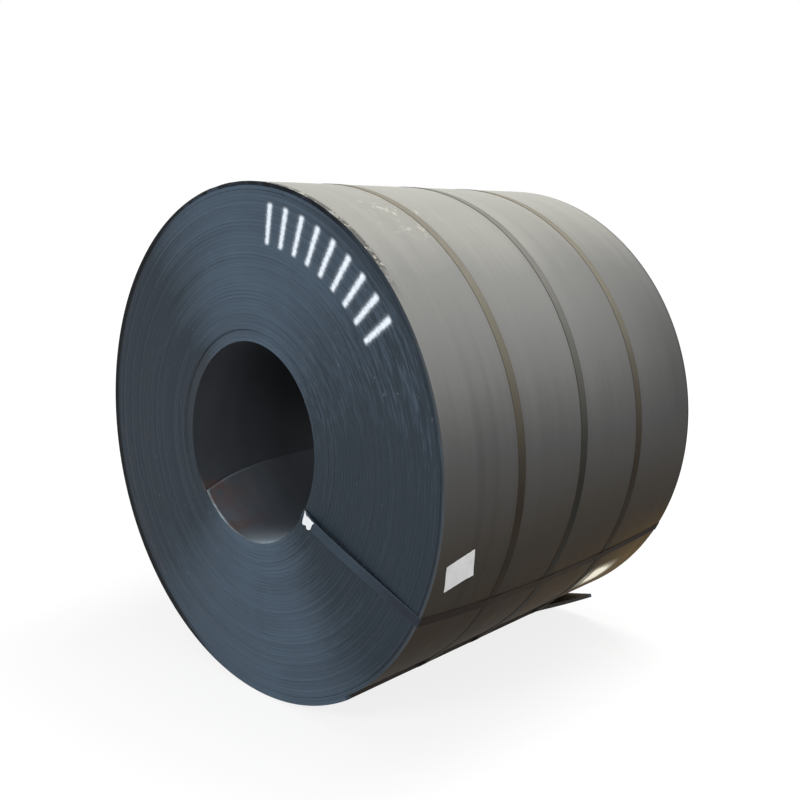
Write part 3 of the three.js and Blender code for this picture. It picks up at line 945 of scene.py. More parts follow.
@dataclass(frozen=True)
class PaperFinish:
    """Plain matt white paper with faint soiling."""

    name: str = "white_paper"
    body: Colour = srgb(254, 255, 255)
    soil: Colour = srgb(214, 215, 220)

    def make(self) -> Material:
        """Makes the material.

        Returns:
            The finished material.
        """
        on = Recipe(bpy.data.materials.new(self.name))
        soiled = on.noise(26.0, 4.0, 0.6).rise(0.46, 0.74)
        fibres = on.noise(900.0, 2.0, 0.6)
        body = on.blend(soiled * 0.3, self.body, self.soil)
        values = {"Base Color": body, "Roughness": fibres.swing(0.2) + 0.8}
        return on.finish(values, fibres + soiled * 3.0, 0.1 * MILLIMETRE)


# The wound strip -----------------------------------------------------------------------------


@dataclass
class WoundStrip:
    """The coil itself: every turn of the strip, with both ends, the outside and the bore."""

    winding: Winding
    outside: OutsideFinish
    bore: BoreFinish
    edge: EdgeFinish
    corner: float = 0.5 * MILLIMETRE
    weave: float = 0.5 * MILLIMETRE
    head_gap: float = 0.1 * MILLIMETRE
    margin: float = 0.2 * MILLIMETRE
    shallow: float = 0.25 * MILLIMETRE
    deep: float = 0.8 * MILLIMETRE
    columns: int = 30
    border: float = 7.5 * MILLIMETRE
    loose_radii: tuple[float, float] = (0.357, 0.776)
    loose_reach: tuple[float, float] = (6.5 * MILLIMETRE, 3.0 * MILLIMETRE)
    loose_depth: float = 6.0 * MILLIMETRE
    loose_stray: float = 4.0 * MILLIMETRE
    dent_depth: float = 4.0 * MILLIMETRE
    dent_angles: tuple[float, float] = (52.0, 108.0)
    dent_radius: float = 0.77
    undented: float = 0.66
    ripple: float = 0.35 * MILLIMETRE
    # The gap by the bore: its turn, first sample and length, and how far its painted shade pulls the tint
    # down.
    gap_turn: int = 3
    gap_start: int = 156
    gap_samples: int = 98
    gap_tint: float = 2.0
    rim_tints: tuple[float, float] = (1.2, 2.0)

    def build(self) -> Piece:
        """Builds the coil.

        Returns:
            The coil's object.
        """
        self.sheet = Sheet()
        self._sample()
        self._tint()
        self.ends = {end: self._end_face(end) for end in End}
        self._outside_skin()
        self._free_end_skins()
        self._bore_skin()
        return self.sheet.build("wound_strip", [self.outside.make(), self.bore.make(), self.edge.make()])

    def _sample(self) -> None:
        """Works out the angle, radii and unevenness of every sample along the strip."""
        w = self.winding
        index = np.arange(w.last + 1)
        part = index % w.per_turn
        past_head = part * w.step
        eased = np.where(past_head <= w.head_hold, 1.0, w.share_left(past_head, w.head_hold))
        angle = w.head_angle + index * w.step
        bore = w.bore_radius + w.thickness * (1.0 - eased) + w.slack(angle)
        turns = np.where(part <= w.last_part, w.whole_turns + 1, w.whole_turns)
        pitch = (w.outside(angle) - bore) / turns
        self.index = index
        self.angle = angle
        self.inner = bore + (index // w.per_turn) * pitch
        self.rim_radius = w.outside(angle[w.rim_from:])
        self.rim_radius[0] = w.outer_radius - w.thickness
        self.outer = np.concatenate([self.inner[w.per_turn:], self.rim_radius[1:]])
        self.free = index[w.last - int((w.tail_angle - w.lift_angle) / w.step):]
        turned = index / w.per_turn
        self.inset = self.weave * (0.6 * wander(turned, 0.83, 5) + 0.4 * wander(turned, 0.31, 6))
        self.tone = 0.7 * wander(turned, 0.9, 7) + 0.3 * wander(turned, 0.21, 8)
        self.groove = self.shallow + (self.deep - self.shallow) * wander(turned, 0.55, 9) ** 2
        for radius, seed in zip(self.loose_radii, (11, 12)):
            near = smoothstep(-np.abs(self.inner - radius), *(-reach for reach in self.loose_reach))
            self.groove += near * (self.loose_depth + self.loose_stray * wander(turned, 0.1, seed))
        top = np.mod(angle, FULL_TURN)
        on_top = (top > self.dent_angles[0]) & (top < self.dent_angles[1]) & (self.inner > self.dent_radius)
        dented = on_top & (wander(index, 1.7, 15) > self.undented)
        self.dent = np.where(dented, self.dent_depth * wander(index, 1.0, 16), 0.0)

    def _tint(self) -> None:
        """Works out the tint of the inner corner, outer corner and groove of every sample."""
        w = self.winding
        # The gap by the bore takes painted shade, as tint below zero.
        painted_gap_shade = np.zeros(w.last + 1)
        gap_from = self.gap_turn * w.per_turn + self.gap_start
        along_gap = np.arange(self.gap_samples) / self.gap_samples
        painted_gap_shade[gap_from:gap_from + self.gap_samples] = self.gap_tint * np.sin(np.pi * along_gap) ** 0.4
        below_gap = np.concatenate([painted_gap_shade[w.per_turn:], np.zeros(w.per_turn)])
        on_rim = self.index > w.rim_from
        self.inner_tint = np.where(on_rim, self.rim_tints[0], self.tone - painted_gap_shade)
        self.outer_tint = np.where(on_rim, self.rim_tints[1], self.tone - below_gap)
        self.groove_tint = self.tone * 0.5 - painted_gap_shade

    def _edge_points(self, end: End, rows: Array, radius: Array, depth: Array, tint: Values,
                     lift: bool) -> Array:
        """Adds a line of points along the strip at one end.

        Args:
            end: Which end.
            rows: Samples along the strip.
            radius: Radius of each.
            depth: How far in from the end each lies.
            tint: Tint of each.
            lift: Whether the sprung stretch is lifted off the coil.

        Returns:
            Numbers of the points.
        """
        w = self.winding
        y = end * (w.half_width - depth)
        places = w.at(self.angle[rows], radius, y)
        if lift:
            free = rows >= self.free[0]
            places[free] = w.lifted(self.angle[rows[free]], radius[free], y[free])
        return self.sheet.add_points(places, tint)

    def _end_face(self, end: End) -> dict[str, Array]:
        """Builds one end: the edge of every turn and the grooves between them.

        Args:
            end: Which end.

        Returns:
            Numbers of the groove, inner corner and rim points.
        """
        w = self.winding
        front = end is End.FRONT
        flush = self.inset + self.margin + self.dent if front else self.weave - self.inset + self.margin
        below = np.concatenate([flush[:w.per_turn], flush[:-w.per_turn]])
        sunk = np.maximum(flush, below) + self.groove
        sunk[:w.per_turn] = (flush + self.corner)[:w.per_turn]
        every, rim_rows, lift = self.index, self.index[w.rim_from:], not front
        groove = self._edge_points(end, every, self.inner, sunk, self.groove_tint, False)
        inner = self._edge_points(end, every, self.inner + self.corner, flush, self.inner_tint, lift)
        outer = self._edge_points(end, every, self.outer - self.corner, flush, self.outer_tint, lift)
        bevel = (flush + self.corner)[w.rim_from:]
        rim = self._edge_points(end, rim_rows, self.rim_radius, bevel, self.rim_tints[1], lift)
        first = w.head_rows
        bevel_end = (self.free[0] if lift else w.last) + 1
        for low, high in (
            (groove[first:bevel_end], inner[first:bevel_end]),
            (inner[first:], outer[first:]),
            (outer[first:w.rim_from + 1], groove[first + w.per_turn:]),
            (outer[w.rim_from:], rim),
        ):
            self.sheet.add_strip(low, high, Slot.EDGE, front)
        return {"groove": groove, "inner": inner, "rim": rim}

    def _columns(self) -> Array:
        """Places along the coil of the skins' columns, between the two borders."""
        near_rim = self.winding.half_width - self.border
        return np.linspace(-near_rim, near_rim, self.columns)

    def _skin(self, angle: Array, radius: Array, borders: Sequence[Array], lift: int | None = None) -> Array:
        """Adds the points of a skin between the front and back borders.

        Args:
            angle: Angle of each row, or of each row and column.
            radius: Radius of each row, or of each row and column.
            borders: Numbers of the front and back border points.
            lift: First row of the strip's sprung stretch, if it has one.

        Returns:
            Numbers of the skin's points, borders included.
        """
        angle, radius, y = np.broadcast_arrays(angle, radius, self._columns())
        places = self.winding.at(angle, radius, y)
        if lift is not None:
            places[lift:] = self.winding.lifted(angle[lift:], radius[lift:], y[lift:])
        middle = self.sheet.add_points(places)
        return np.concatenate([borders[0][:, None], middle, borders[1][:, None]], axis=1)

    def _outside_skin(self) -> None:
        """Builds the outermost turn's outside."""
        w = self.winding
        angle = self.angle[w.rim_from:, None]
        soft = self.ripple * wander(angle * 0.9 + 400.0, 14.0, 21)
        soft = soft * wander(self._columns() * 9.0 + 20.0, 1.3, 22)
        borders = [self.ends[end]["rim"] for end in End]
        self.top = self._skin(angle, self.rim_radius[:, None] - soft, borders, self.free[0] - w.rim_from)
        self.sheet.add_grid(self.top, Slot.OUTSIDE)

    def _free_end_skins(self) -> None:
        """Builds the underside of the strip's free end and what lies under its lifted corner."""
        w = self.winding
        front, back = self.ends[End.FRONT], self.ends[End.BACK]
        angle, radius = self.angle[self.free], self.inner[self.free]
        hem = w.lifted(angle, radius, np.full(len(angle), w.half_width - self.weave / 2))
        hem = self.sheet.add_points(hem, self.tone[self.free])
        angle, radius = angle[:, None], radius[:, None]
        under = self._skin(angle, radius, (front["groove"][self.free], hem), 0)
        self.sheet.add_grid(under, Slot.OUTSIDE, True)
        self.sheet.add_strip(hem, back["inner"][self.free], Slot.EDGE)
        borders = (front["groove"][self.free], back["groove"][self.free])
        below = self._skin(angle, radius - self.margin, borders)
        self.sheet.add_grid(below, Slot.OUTSIDE)
        self.sheet.add_strip(under[-1], self.top[-1], Slot.EDGE, True)

    def _bore_skin(self) -> None:
        """Builds the innermost turn's inside, from the rounded inner end of the strip."""
        w = self.winding
        count = w.per_turn + w.head_rows + 1
        y = self._columns()
        head = w.head_angle + w.head_rows * w.step * np.abs(y / w.half_width) ** w.head_power
        angle = np.repeat(self.angle[:count, None], self.columns, axis=1)
        for row in range(w.head_rows):
            angle[row] = head + (angle[w.head_rows] - head) * row / w.head_rows
        rows = np.maximum(np.arange(count), w.head_rows)
        borders = [self.ends[end]["groove"][rows] for end in End]
        skin = self._skin(angle, self.inner[:count, None], borders)
        self.sheet.add_grid(skin, Slot.BORE, True)
        behind = self.sheet.add_points(w.at(head, self.inner[w.per_turn] - self.head_gap, y))
        corners = [self.ends[end]["groove"][w.per_turn + w.head_rows] for end in End]
        self.sheet.add_strip(np.array([corners[0], *behind, corners[1]]), skin[0], Slot.EDGE, True)


# Strapping -----------------------------------------------------------------------------------


@dataclass(frozen=True)
class Band:
    """Flat steel band with rounded edges."""

    width: float = 32.0 * MILLIMETRE
    thickness: float = 1.0 * MILLIMETRE
    rounded: float = 0.6 * MILLIMETRE

    def sweep(self, sheet: Sheet, line: Array, off: Array, across: Array) -> None:
        """Adds a band along a line.

        Args:
            sheet: The mesh under construction.
            line: Middle of the band's underside at each step.
            off: Way off the coil at each step, in thicknesses.
            across: Unit way across the band at each step.
        """
        half = self.width / 2
        inset = half - self.rounded
        flat = half * 0.7
        side, up, tint = np.array([
            (-half, 0.25, 0.9), (-inset, 1.0, 0.8), (-flat, 1.0, 0.0), (flat, 1.0, 0.0),
            (inset, 1.0, 0.8), (half, 0.25, 0.9), (inset, 0.0, 0.5), (-inset, 0.0, 0.5),
        ]).T[:, :, None]
        points = line[:, None] + across[:, None] * side + off[:, None] * up * self.thickness
        sheet.add_bar(points, tint[:, 0], True)


@dataclass(frozen=True)
class Seal:
    """A crimped sleeve over two lapped bands."""

    length: float = 46.0 * MILLIMETRE
    half_width: float = 17.2 * MILLIMETRE
    height: float = 3.6 * MILLIMETRE
    crimp: float = 2.6 * MILLIMETRE
    pressed: float = 0.5 * MILLIMETRE
    clear: float = 0.4 * MILLIMETRE
    crimps: tuple[float, float] = (-0.24, 0.24)
    rows: int = 33

    def build(self, name: str, origin: Array, along: Array, out: Array, material: Material) -> Piece:
        """Builds the sleeve.

        Args:
            name: Name of the piece.
            origin: Middle of its open side on the coil.
            along: Unit way along the band.
            out: Unit way off the coil.
            material: Its finish.

        Returns:
            The sleeve's object.
        """
        steps = np.linspace(-0.5, 0.5, self.rows)[:, None, None]
        pinch = sum(smoothstep(-np.abs(steps - place), -0.09, -0.02) for place in self.crimps)
        half = self.half_width - self.crimp * pinch * 0.6
        top = self.height - self.pressed * pinch
        side, up, tint = np.array([
            (-1.0, 0.0, 0.9), (-1.0, 0.75, 0.6), (-0.93, 1.0, 0.9), (-0.5, 1.0, 0.2), (0.0, 1.04, 0.1),
            (0.5, 1.0, 0.2), (0.93, 1.0, 0.9), (1.0, 0.75, 0.6), (1.0, 0.0, 0.9),
        ]).T[:, :, None]
        points = origin + along * steps * self.length + np.cross(along, out) * side * half
        sheet = Sheet()
        sheet.add_bar(points + out * (self.clear + up * (top - self.clear)), tint[:, 0], False)
        return sheet.build(name, [material])


@dataclass
class RingStrap:
    """A strap round the coil, lapped under its seal."""

    winding: Winding
    place: str
    middle: float
    skew: float
    seal_angle: float
    material: Material
    band: Band = Band()
    seal: Seal = Seal()
    lap: float = 70.0 * MILLIMETRE
    gap: float = 0.25 * MILLIMETRE
    stray: float = 2.0 * MILLIMETRE
    rows: int = 300
    hull_rows: int = 1081
    past_tail: float = 0.02

    def taut(self, angles: Values) -> Array:
        """Radius of a band pulled tight over the coil and its free end, by way of a convex hull.

        Args:
            angles: Angles in degrees.

        Returns:
            Radius of the band's underside at the angles.
        """
        w = self.winding
        sweep = w.tail_angle + np.linspace(self.past_tail, FULL_TURN, self.hull_rows)
        points = (w.outside(sweep) + self.gap) * np.exp(1j * np.radians(sweep))
        hull = [points[-1]]
        for point in points:
            while len(hull) > 1 and ((hull[-1] - hull[-2]).conjugate() * (point - hull[-1])).imag <= 0.0:
                hull.pop()
            hull.append(point)
        shares = np.linspace(0.0, 1.0, 9)[:-1]
        dense = np.concatenate([a + (b - a) * shares for a, b in zip(hull[:-1], hull[1:])])
        seen = np.mod(np.degrees(np.angle(dense)), FULL_TURN)
        order = np.argsort(seen)
        return np.interp(np.mod(angles, FULL_TURN), seen[order], np.abs(dense)[order], period=FULL_TURN)

    def side_at(self, angle: float) -> float:
        """Place along the coil of the strap's middle at an angle."""
        return self.middle + self.skew * self.winding.outer_radius * math.sin(math.radians(angle))

    def build(self) -> list[Piece]:
        """Builds the strap and its seal.

        Returns:
            The two objects.
        """
        w = self.winding
        half_lap = math.degrees(self.lap / 2 / w.outer_radius)
        once_round = self.seal_angle + FULL_TURN
        angles = np.linspace(self.seal_angle - half_lap, once_round + half_lap, self.rows)
        over = smoothstep(angles, once_round - 1.6 * half_lap, once_round - half_lap)
        radius = self.taut(angles) + over * (self.band.thickness + self.gap)
        stray = (wander(angles + 900.0, 33.0, len(self.place)) - 0.5) * self.stray
        line = w.at(angles, radius, self.middle + self.skew * radius * np.sin(np.radians(angles)) + stray)
        sheet = Sheet()
        self.band.sweep(sheet, line, way(angles), np.broadcast_to(ALONG_COIL, line.shape))
        strap = sheet.build(f"ring_strap_{self.place}", [self.material])
        out, along = way(self.seal_angle), way(self.seal_angle + QUARTER_TURN)
        origin = w.at(self.seal_angle, self.taut(self.seal_angle) - self.gap, self.side_at(self.seal_angle))
        return [strap, self.seal.build(f"ring_seal_{self.place}", origin, along, out, self.material)]


@dataclass
class EyeStrap:
    """The slack strap through the bore and back over the outside, with its seal on the back end.

    Its steps are counted from the seal to the bore, through it, over the front end, back along the
    outside and down to the seal.
    """

    winding: Winding
    crossed: Sequence[float]
    tilt: float = -23.8
    offset: float = -0.047
    sag: float = 0.047
    back_drop: float = 0.023
    bulge: float = 15.5 * MILLIMETRE
    peak: float = 0.5
    bends: int = 8
    bend_round: float = 0.022
    climb_from: float = 0.075
    climb_to: float = 0.028
    gap: float = 0.3 * MILLIMETRE
    seal_place: float = 0.560
    lap: float = 0.070
    step_up: tuple[float, float] = (0.03, 0.004)
    before_bore: float = 0.002
    fold: float = 0.015
    steps: tuple[int, int, int, int, int] = (20, 30, 64, 60, 24)
    band: Band = Band()
    seal: Seal = Seal()

    def __post_init__(self) -> None:
        """Works out where the strap meets the bore and the rim, and where its lap ends."""
        w = self.winding
        half = self.band.width / 2
        rough_angle = self.tilt + math.degrees(math.asin(self.offset / w.bore_radius))
        side = math.degrees(half / w.bore_radius)
        edge = w.bore_radius + min(w.slack(rough_angle - side), w.slack(rough_angle + side))
        self.bore = math.sqrt(edge ** 2 - half ** 2) - self.gap
        self.rim = float(w.outside(self.tilt)) + self.gap
        self.bore_run, self.rim_run = (math.sqrt(r ** 2 - self.offset ** 2) for r in (self.bore, self.rim))
        self.bore_angle, self.rim_angle = (
            self.tilt + math.degrees(math.asin(self.offset / r)) for r in (self.bore, self.rim)
        )
        self.reach = w.half_width + self.gap
        self.lap_end = self.seal_place + self.lap / 2

    def _at_end(self, end: End, run: Values, lift: Values = 0.0) -> Array:
        """Places over an end face.

        Args:
            end: Which end.
            run: How far along the strap's straight line.
            lift: How far off the face, beyond the usual gap.

        Returns:
            The places.
        """
        run, lift = np.broadcast_arrays(run, lift)
        flat = run[..., None] * way(self.tilt) + self.offset * way(self.tilt + QUARTER_TURN)
        return np.array(self.winding.axis) + flat + (end * (self.reach + lift))[..., None] * ALONG_COIL

    def _stand_off(self, share: Array) -> Array:
        """How far the slack strap stands off the front end.

        Args:
            share: How far along it, from 0 at the bore to 1 at the rim.

        Returns:
            The distance, with rounded bends.
        """
        kinks = np.arange(self.bends + 1) / self.bends
        heights = self.bulge * np.sin(np.pi * kinks ** self.peak)
        near = np.clip(share + np.linspace(-self.bend_round, self.bend_round, 7)[:, None], 0.0, 1.0)
        return np.interp(near, kinks, heights).mean(axis=0)

    def ways_at_bore(self) -> tuple[Array, Array]:
        """Ways of the strap's first stretch on the front end, beside the bore.

        Returns:
            Unit ways along and across it.
        """
        first_bend = self.bulge * math.sin(math.pi * self.bends ** -self.peak)
        slope = first_bend * self.bends / (self.rim_run - self.bore_run)
        along = way(self.tilt) - slope * ALONG_COIL
        return along / np.linalg.norm(along), way(self.tilt + QUARTER_TURN)

    @staticmethod
    def _mitred(off: Array, y: Array) -> Array:
        """Ways off the coil, leaning out over its ends at a stretch's first and last place.

        Args:
            off: Ways off the coil, or one for all.
            y: Places along the coil from its middle.

        Returns:
            The ways.
        """
        lean = np.zeros((len(y), 1))
        lean[[0, -1], 0] = np.sign(y[[0, -1]])
        return off + lean * ALONG_COIL

    def _over_outside(self) -> tuple[Array, Array, Array]:
        """Lays the strap along the outside, where it sags and climbs over the ring straps.

        Returns:
            Its places, ways off the coil and ways across.
        """
        along = np.linspace(-1.0, 1.0, self.steps[3])
        drop = self.sag * (1.0 - along ** 2) + self.back_drop * (1.0 + along) / 2
        angle = self.rim_angle - np.degrees(drop / self.rim)
        y = along * self.reach
        nearest = np.min([np.abs(y - place) for place in self.crossed], axis=0)
        climb = smoothstep(-nearest, -self.climb_from, -self.climb_to) * (self.band.thickness + 2 * self.gap)
        points = self.winding.at(angle, self.winding.outside(angle) + self.gap + climb, y)
        across = np.cross(np.gradient(points, axis=0), way(angle))
        across = across / np.linalg.norm(across, axis=1)[:, None]
        across[[0, -1]] = way(self.rim_angle - QUARTER_TURN)
        return points, self._mitred(way(angle), y), across

    def _down_back(self, start: Array) -> Array:
        """Lays the strap's last stretch, from the rim to the seal and over its first end.

        Args:
            start: Where it comes over the rim.

        Returns:
            Its places.
        """
        run = np.linspace(self.rim_run, self.seal_place - self.lap / 2, self.steps[4])[1:]
        over = smoothstep(-run, *(-self.lap_end - before for before in self.step_up))
        behind = self._at_end(End.BACK, run, over * (self.band.thickness + self.gap))
        missed = (start - self._at_end(End.BACK, self.rim_run)) * (1.0 - ALONG_COIL)
        left = np.clip((run - self.lap_end) / (self.rim_run - self.lap_end), 0.0, 1.0)
        return behind + missed * left[:, None]

    def build(self, material: Material) -> list[Piece]:
        """Builds the strap and its seal.

        Args:
            material: Finish of both.

        Returns:
            The two objects.
        """
        across = way(self.tilt - QUARTER_TURN)
        inner_run = np.linspace(self.lap_end, self.bore_run + self.before_bore, self.steps[0])
        bore_y = np.linspace(self.reach, -self.reach, self.steps[1])
        share = np.linspace(self.fold, 1.0, self.steps[2])[:-1]
        front_run = self.bore_run + (self.rim_run - self.bore_run) * share
        outside = self._over_outside()
        stretches = [
            (self._at_end(End.BACK, inner_run), ALONG_COIL, across),
            (self.winding.at(self.bore_angle, self.bore, bore_y),
             self._mitred(-way(self.bore_angle), bore_y), way(self.bore_angle - QUARTER_TURN)),
            (self._at_end(End.FRONT, front_run, self._stand_off(share)), -ALONG_COIL, across),
            outside,
            (self._down_back(outside[0][-1]), ALONG_COIL, across),
        ]
        course = [[np.broadcast_to(part, stretch[0].shape) for part in stretch] for stretch in stretches]
        sheet = Sheet()
        self.band.sweep(sheet, *(np.concatenate(parts) for parts in zip(*course)))
        strap = sheet.build("through_strap", [material], 30.0)
        origin = self._at_end(End.BACK, self.seal_place, -self.gap)
        return [strap, self.seal.build("through_seal", origin, way(self.tilt), ALONG_COIL, material)]


# Paper ---------------------------------------------------------------------------------------


@dataclass
class Label:
    """A plain paper label stuck on the outside."""

    winding: Winding
    width: float = 0.110
    height: float = 0.090
    angle: float = -17.0
    from_end: float = 0.101
    turn: float = 13.5
    thickness: float = 0.3 * MILLIMETRE
    gap: float = 0.6 * MILLIMETRE
    wrinkle: float = 0.5 * MILLIMETRE
    curls: tuple[float, float] = (2.2 * MILLIMETRE, 1.2 * MILLIMETRE)
    steps: int = 24

    def build(self, material: Material) -> Piece:
        """Builds the label.

        Args:
            material: Its finish.

        Returns:
            The label's object.
        """
        w = self.winding
        side = np.linspace(-0.5, 0.5, self.steps)
        up, right = np.meshgrid(side, side, indexing="ij")
        cos, sin = math.cos(math.radians(self.turn)), math.sin(math.radians(self.turn))
        arc = right * self.width * sin + up * self.height * cos
        y = self.from_end - w.half_width + right * self.width * cos - up * self.height * sin
        angle = self.angle + np.degrees(arc / w.outer_radius)
        wrinkle = wander((up + right) * 9.0 + 30.0, 1.0, 31) * wander((up - right) * 7.0 + 30.0, 1.0, 32)
        low_curl, high_curl = smoothstep(right - up, 0.72, 1.0), smoothstep(up - right, 0.8, 1.0)
        curl = self.curls[0] * low_curl + self.curls[1] * high_curl
        base = w.outside(angle) + self.gap + self.wrinkle * wrinkle + curl
        sheet = Sheet()
        low = sheet.add_points(w.at(angle, base, y))
        high = sheet.add_points(w.at(angle, base + self.thickness, y))
        sheet.add_grid(high)
        sheet.add_grid(low, flip=True)
        for first, second in (
            (low[0], high[0]), (high[-1], low[-1]), (high[:, 0], low[:, 0]), (low[:, -1], high[:, -1]),
        ):
            sheet.add_strip(first, second)
        return sheet.build("label", [material])


@dataclass
class GlintScrap:
    """A torn scrap of white paper under the strap's fold at the bore, a painted highlight of the bend, with
    its outline in millimetres.
    """

    middle: Vector
    along: Array
    up: Array
    outline: tuple[tuple[float, float], ...] = (
        (-27, 18), (-25, 7), (-24, -9), (-23, -21), (-18, -25), (-11, -22), (-1.5, -16),
        (7, -22), (14, -21), (25, -12), (26.5, -1.5), (27, 6.5), (32, 15.5), (29, 17.5),
        (20, 15), (10, 14.5), (-1, 13), (-12, 10), (-18, 11),
    )
    thickness: float = 0.6 * MILLIMETRE
    crumple: float = 0.225 * MILLIMETRE
    rings: int = 5

    def build(self, material: Material) -> Piece:
        """Builds the scrap.

        Args:
            material: Its finish.

        Returns:
            The scrap's object.
        """
        rim = np.array([*self.outline, self.outline[0]]) * MILLIMETRE
        flat = rim * np.linspace(1.0, 0.0, self.rings)[:, None, None]
        right, up = flat[..., :1], flat[..., 1:]
        crumple = np.sin(right * 260.0 + 1.0) * np.cos(up * 210.0) * self.crumple
        sheet = Sheet()
        layers = []
        for side in (0.0, self.thickness):
            off = (crumple + side - self.thickness * 1.1) * np.cross(self.along, self.up)
            layers.append(sheet.add_points(np.array(self.middle) + right * self.along + up * self.up + off))
        sheet.add_grid(layers[1])
        sheet.add_grid(layers[0], flip=True)
        sheet.add_strip(layers[0][0], layers[1][0])
        return sheet.build("painted_glint_scrap", [material])


# Studio --------------------------------------------------------------------------------------


def stand(data: bpy.types.ID, place: Vector, aim: Vector) -> Piece:
    """Stands a lamp or a camera where it looks at its aim.

    Args:
        data: The lamp or the camera.
        place: Where it stands.
        aim: What it looks at.

    Returns:
        Its object, linked to the scene.
    """
    made = bpy.data.objects.new(data.name, data)
    made.location = place
    made.rotation_euler = (aim - place).to_track_quat("-Z", "Y").to_euler()
    bpy.context.scene.collection.objects.link(made)
    return made


@dataclass(frozen=True)
class Lamp:
    """A soft square lamp: where it hangs and points, its side in metres, its watts and colour."""

    name: str
    place: Place
    aim: Place
    size: float
    power: float
    colour: Colour

    def hang(self) -> None:
        """Makes the lamp and hangs it where it points at its aim."""
        light = bpy.data.lights.new(self.name, "AREA")
        light.size = self.size
        light.energy = self.power
        light.color = self.colour
        stand(light, Vector(self.place), Vector(self.aim))


@dataclass
class Studio:
    """Pale floor, soft plain light and the camera."""

    middle: Vector
    camera: Place = (2.3370, -2.3822, 0.6642)
    aim: Place = (0.0280, 0.0, 0.0695)
    lens: float = 43.6
    sensor: float = 36.0
    far_limit: float = 200.0
    sky: float = 0.34
    floor_reach: float = 60.0
    floor_grey: float = 0.2
    floor_glow: float = 0.82
    glow_from: float = 1.3
    glow_to: float = 4.5
    lamps: tuple[Lamp, ...] = (
        Lamp("overhead", (0.6, 0.9, 5.2), (0.1, 0.3, 0.8), 2.6, 210.0, (1.0, 0.99, 0.97)),
        Lamp("low_front", (-0.5, -4.8, 0.4), (0.0, -0.6, 0.7), 1.6, 78.0, (0.93, 0.98, 1.0)),
        Lamp("high_front", (1.6, -4.4, 3.4), (0.0, -0.4, 0.6), 1.2, 75.0, (0.97, 0.99, 1.0)),
        Lamp("right_side", (5.0, -2.4, 1.6), (0.5, -0.1, 0.6), 2.2, 88.0, (1.0, 0.99, 0.97)),
    )

    def build(self) -> None:
        """Makes the floor, the sky, the lamps and the camera."""
        self._floor()
        self._sky()
        for lamp in self.lamps:
            lamp.hang()
        data = bpy.data.cameras.new("camera")
        data.lens = self.lens
        data.sensor_width = self.sensor
        data.clip_end = self.far_limit
        camera = stand(data, self.middle + Vector(self.camera), self.middle + Vector(self.aim))
        bpy.context.scene.camera = camera

    def _floor(self) -> None:
        """A pale floor, which shows white but keeps the shadow."""
        mesh = bpy.data.meshes.new("floor")
        reach = self.floor_reach
        corners = [(-reach, -reach, 0.0), (reach, -reach, 0.0), (reach, reach, 0.0), (-reach, reach, 0.0)]
        mesh.from_pydata(corners, [], [(0, 1, 2, 3)])
        floor = bpy.data.objects.new("floor", mesh)
        bpy.context.scene.collection.objects.link(floor)
        on = Recipe(bpy.data.materials.new("pale_floor"))
        grey = on.noise(40.0, 2.0).swing(0.02) + self.floor_grey
        away = on.vector("LENGTH", on.place, out="Value")
        glow = on.seen() * away.rise(self.glow_from, self.glow_to, self.floor_glow, 1.0)
        values = {
            "Base Color": on.grey(grey), "Roughness": 0.9, "Specular IOR Level": 0.0,
            "Emission Color": on.grey(glow), "Emission Strength": 1.0,
        }
        mesh.materials.append(on.finish(values))

    def _sky(self) -> None:
        """A pale sky that lights the coil, plain white where it is seen or mirrored."""
        sky = Recipe(bpy.data.worlds.new("sky"))
        light = {"Color": (0.97, 0.985, 1.0, 1.0), "Strength": self.sky}
        lit = sky.read("ShaderNodeBackground", values=light)
        white = sky.read("ShaderNodeBackground", values={"Color": (1.0, 1.0, 1.0, 1.0), "Strength": 1.0})
        both = sky.read("ShaderNodeMixShader", values={0: sky.seen(), 1: lit, 2: white})
        sky.node("ShaderNodeOutputWorld", values={"Surface": both})
        bpy.context.scene.world = sky.owner


# Assembly ------------------------------------------------------------------------------------


def settle(piece: Piece, slot: str, *nodes: str) -> None:
    """Ties a piece to the frame.

    Args:
        piece: The piece.
        slot: Name of its material slot; not used.
        nodes: The solids that it stands for.
    """
    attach(piece, "root")
    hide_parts(*nodes)
    log.info("%s: %d faces, stands for %s", piece.name, len(piece.data.polygons), ", ".join(nodes))


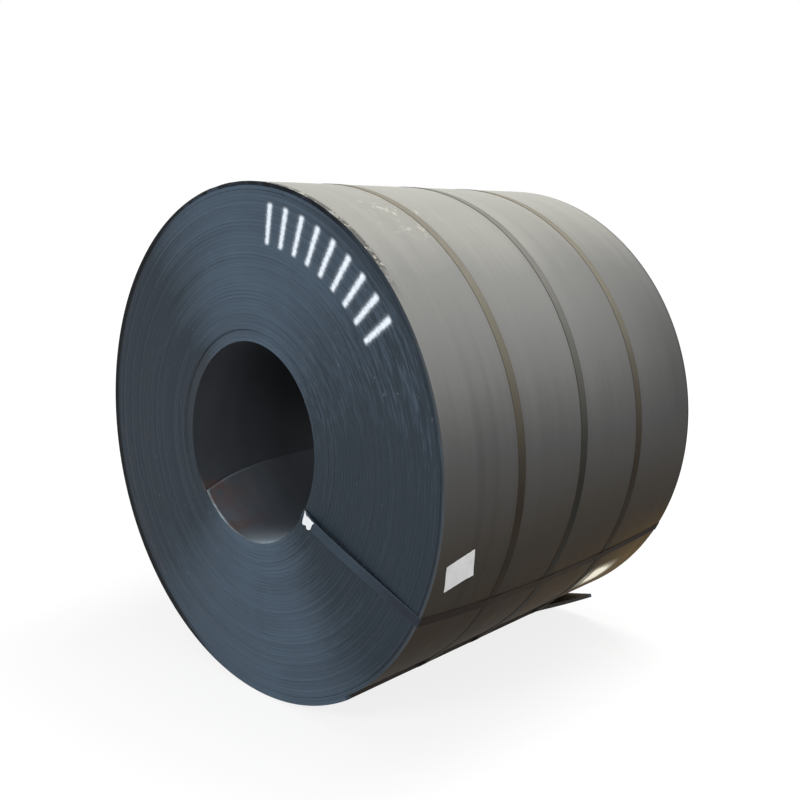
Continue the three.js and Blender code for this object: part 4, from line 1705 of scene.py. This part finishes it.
def measure() -> Winding:
    """Reads where the coil lies.

    Returns:
        The winding's sizes about its own axis.
    """
    low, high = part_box("coil")
    rest = next(m for m in frame["record"]["mounts"] if m["name"] == "floor_rest")
    return Winding((rest["pos_m"][0], (low.y + high.y) / 2, low.z + Winding.outer_radius))


def main() -> None:
    """Builds every piece in order."""
    logging.basicConfig(level=logging.INFO, format="%(name)s: %(message)s")
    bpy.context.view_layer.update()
    bpy.context.scene.view_settings.view_transform = "Standard"
    winding = measure()
    Studio(Vector(winding.axis)).build()
    coil = WoundStrip(winding, OutsideFinish(winding), BoreFinish(winding), EdgeFinish(winding))
    settle(coil.build(), "mill_steel", "coil")
    steel = StrapFinish(winding).make()
    # The middle strap's edges take more painted shadow.
    oiled = StrapFinish(
        winding, "oiled_strapping", above=srgb(116, 116, 111), below=srgb(40, 41, 38), edge_shade=0.7,
    ).make()
    # The eye strap's far colour is painted shade low towards the coil's ends.
    slack = StrapFinish(
        winding, "slack_strapping", above=srgb(58, 49, 42), below=srgb(48, 40, 32), far=srgb(32, 25, 23),
        rust=srgb(70, 57, 42), edge_shade=0.0,
    ).make()
    rings = [
        RingStrap(winding, "front", -0.307, -0.008, 150.0, steel),
        RingStrap(winding, "middle", -0.009, 0.055, 157.5, oiled),
        RingStrap(winding, "back", 0.301, 0.023, 142.5, steel),
    ]
    for ring in rings:
        strap, seal = ring.build()
        settle(strap, "strapping", f"strap_{ring.place}")
        settle(seal, "strapping", f"seal_{ring.place}")
    eye_strap = EyeStrap(winding, [ring.side_at(EyeStrap.tilt) for ring in rings])
    strap, seal = eye_strap.build(slack)
    settle(strap, "strapping", "eye_strap")
    settle(seal, "strapping", "seal_eye")
    settle(Label(winding).build(PaperFinish().make()), "white_paper", "paper_label")
    # A white paper scrap at the strap's fold by the bore, standing in for the bend's highlight: a painted
    # highlight.
    glint_paper = PaperFinish("glint_white_paper", srgb(250, 251, 253), srgb(236, 238, 242)).make()
    low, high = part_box("bore_tag")
    glint_scrap = GlintScrap((low + high) / 2, *eye_strap.ways_at_bore())
    settle(glint_scrap.build(glint_paper), "white_paper", "bore_tag")


if __name__ == "__main__":
    main()
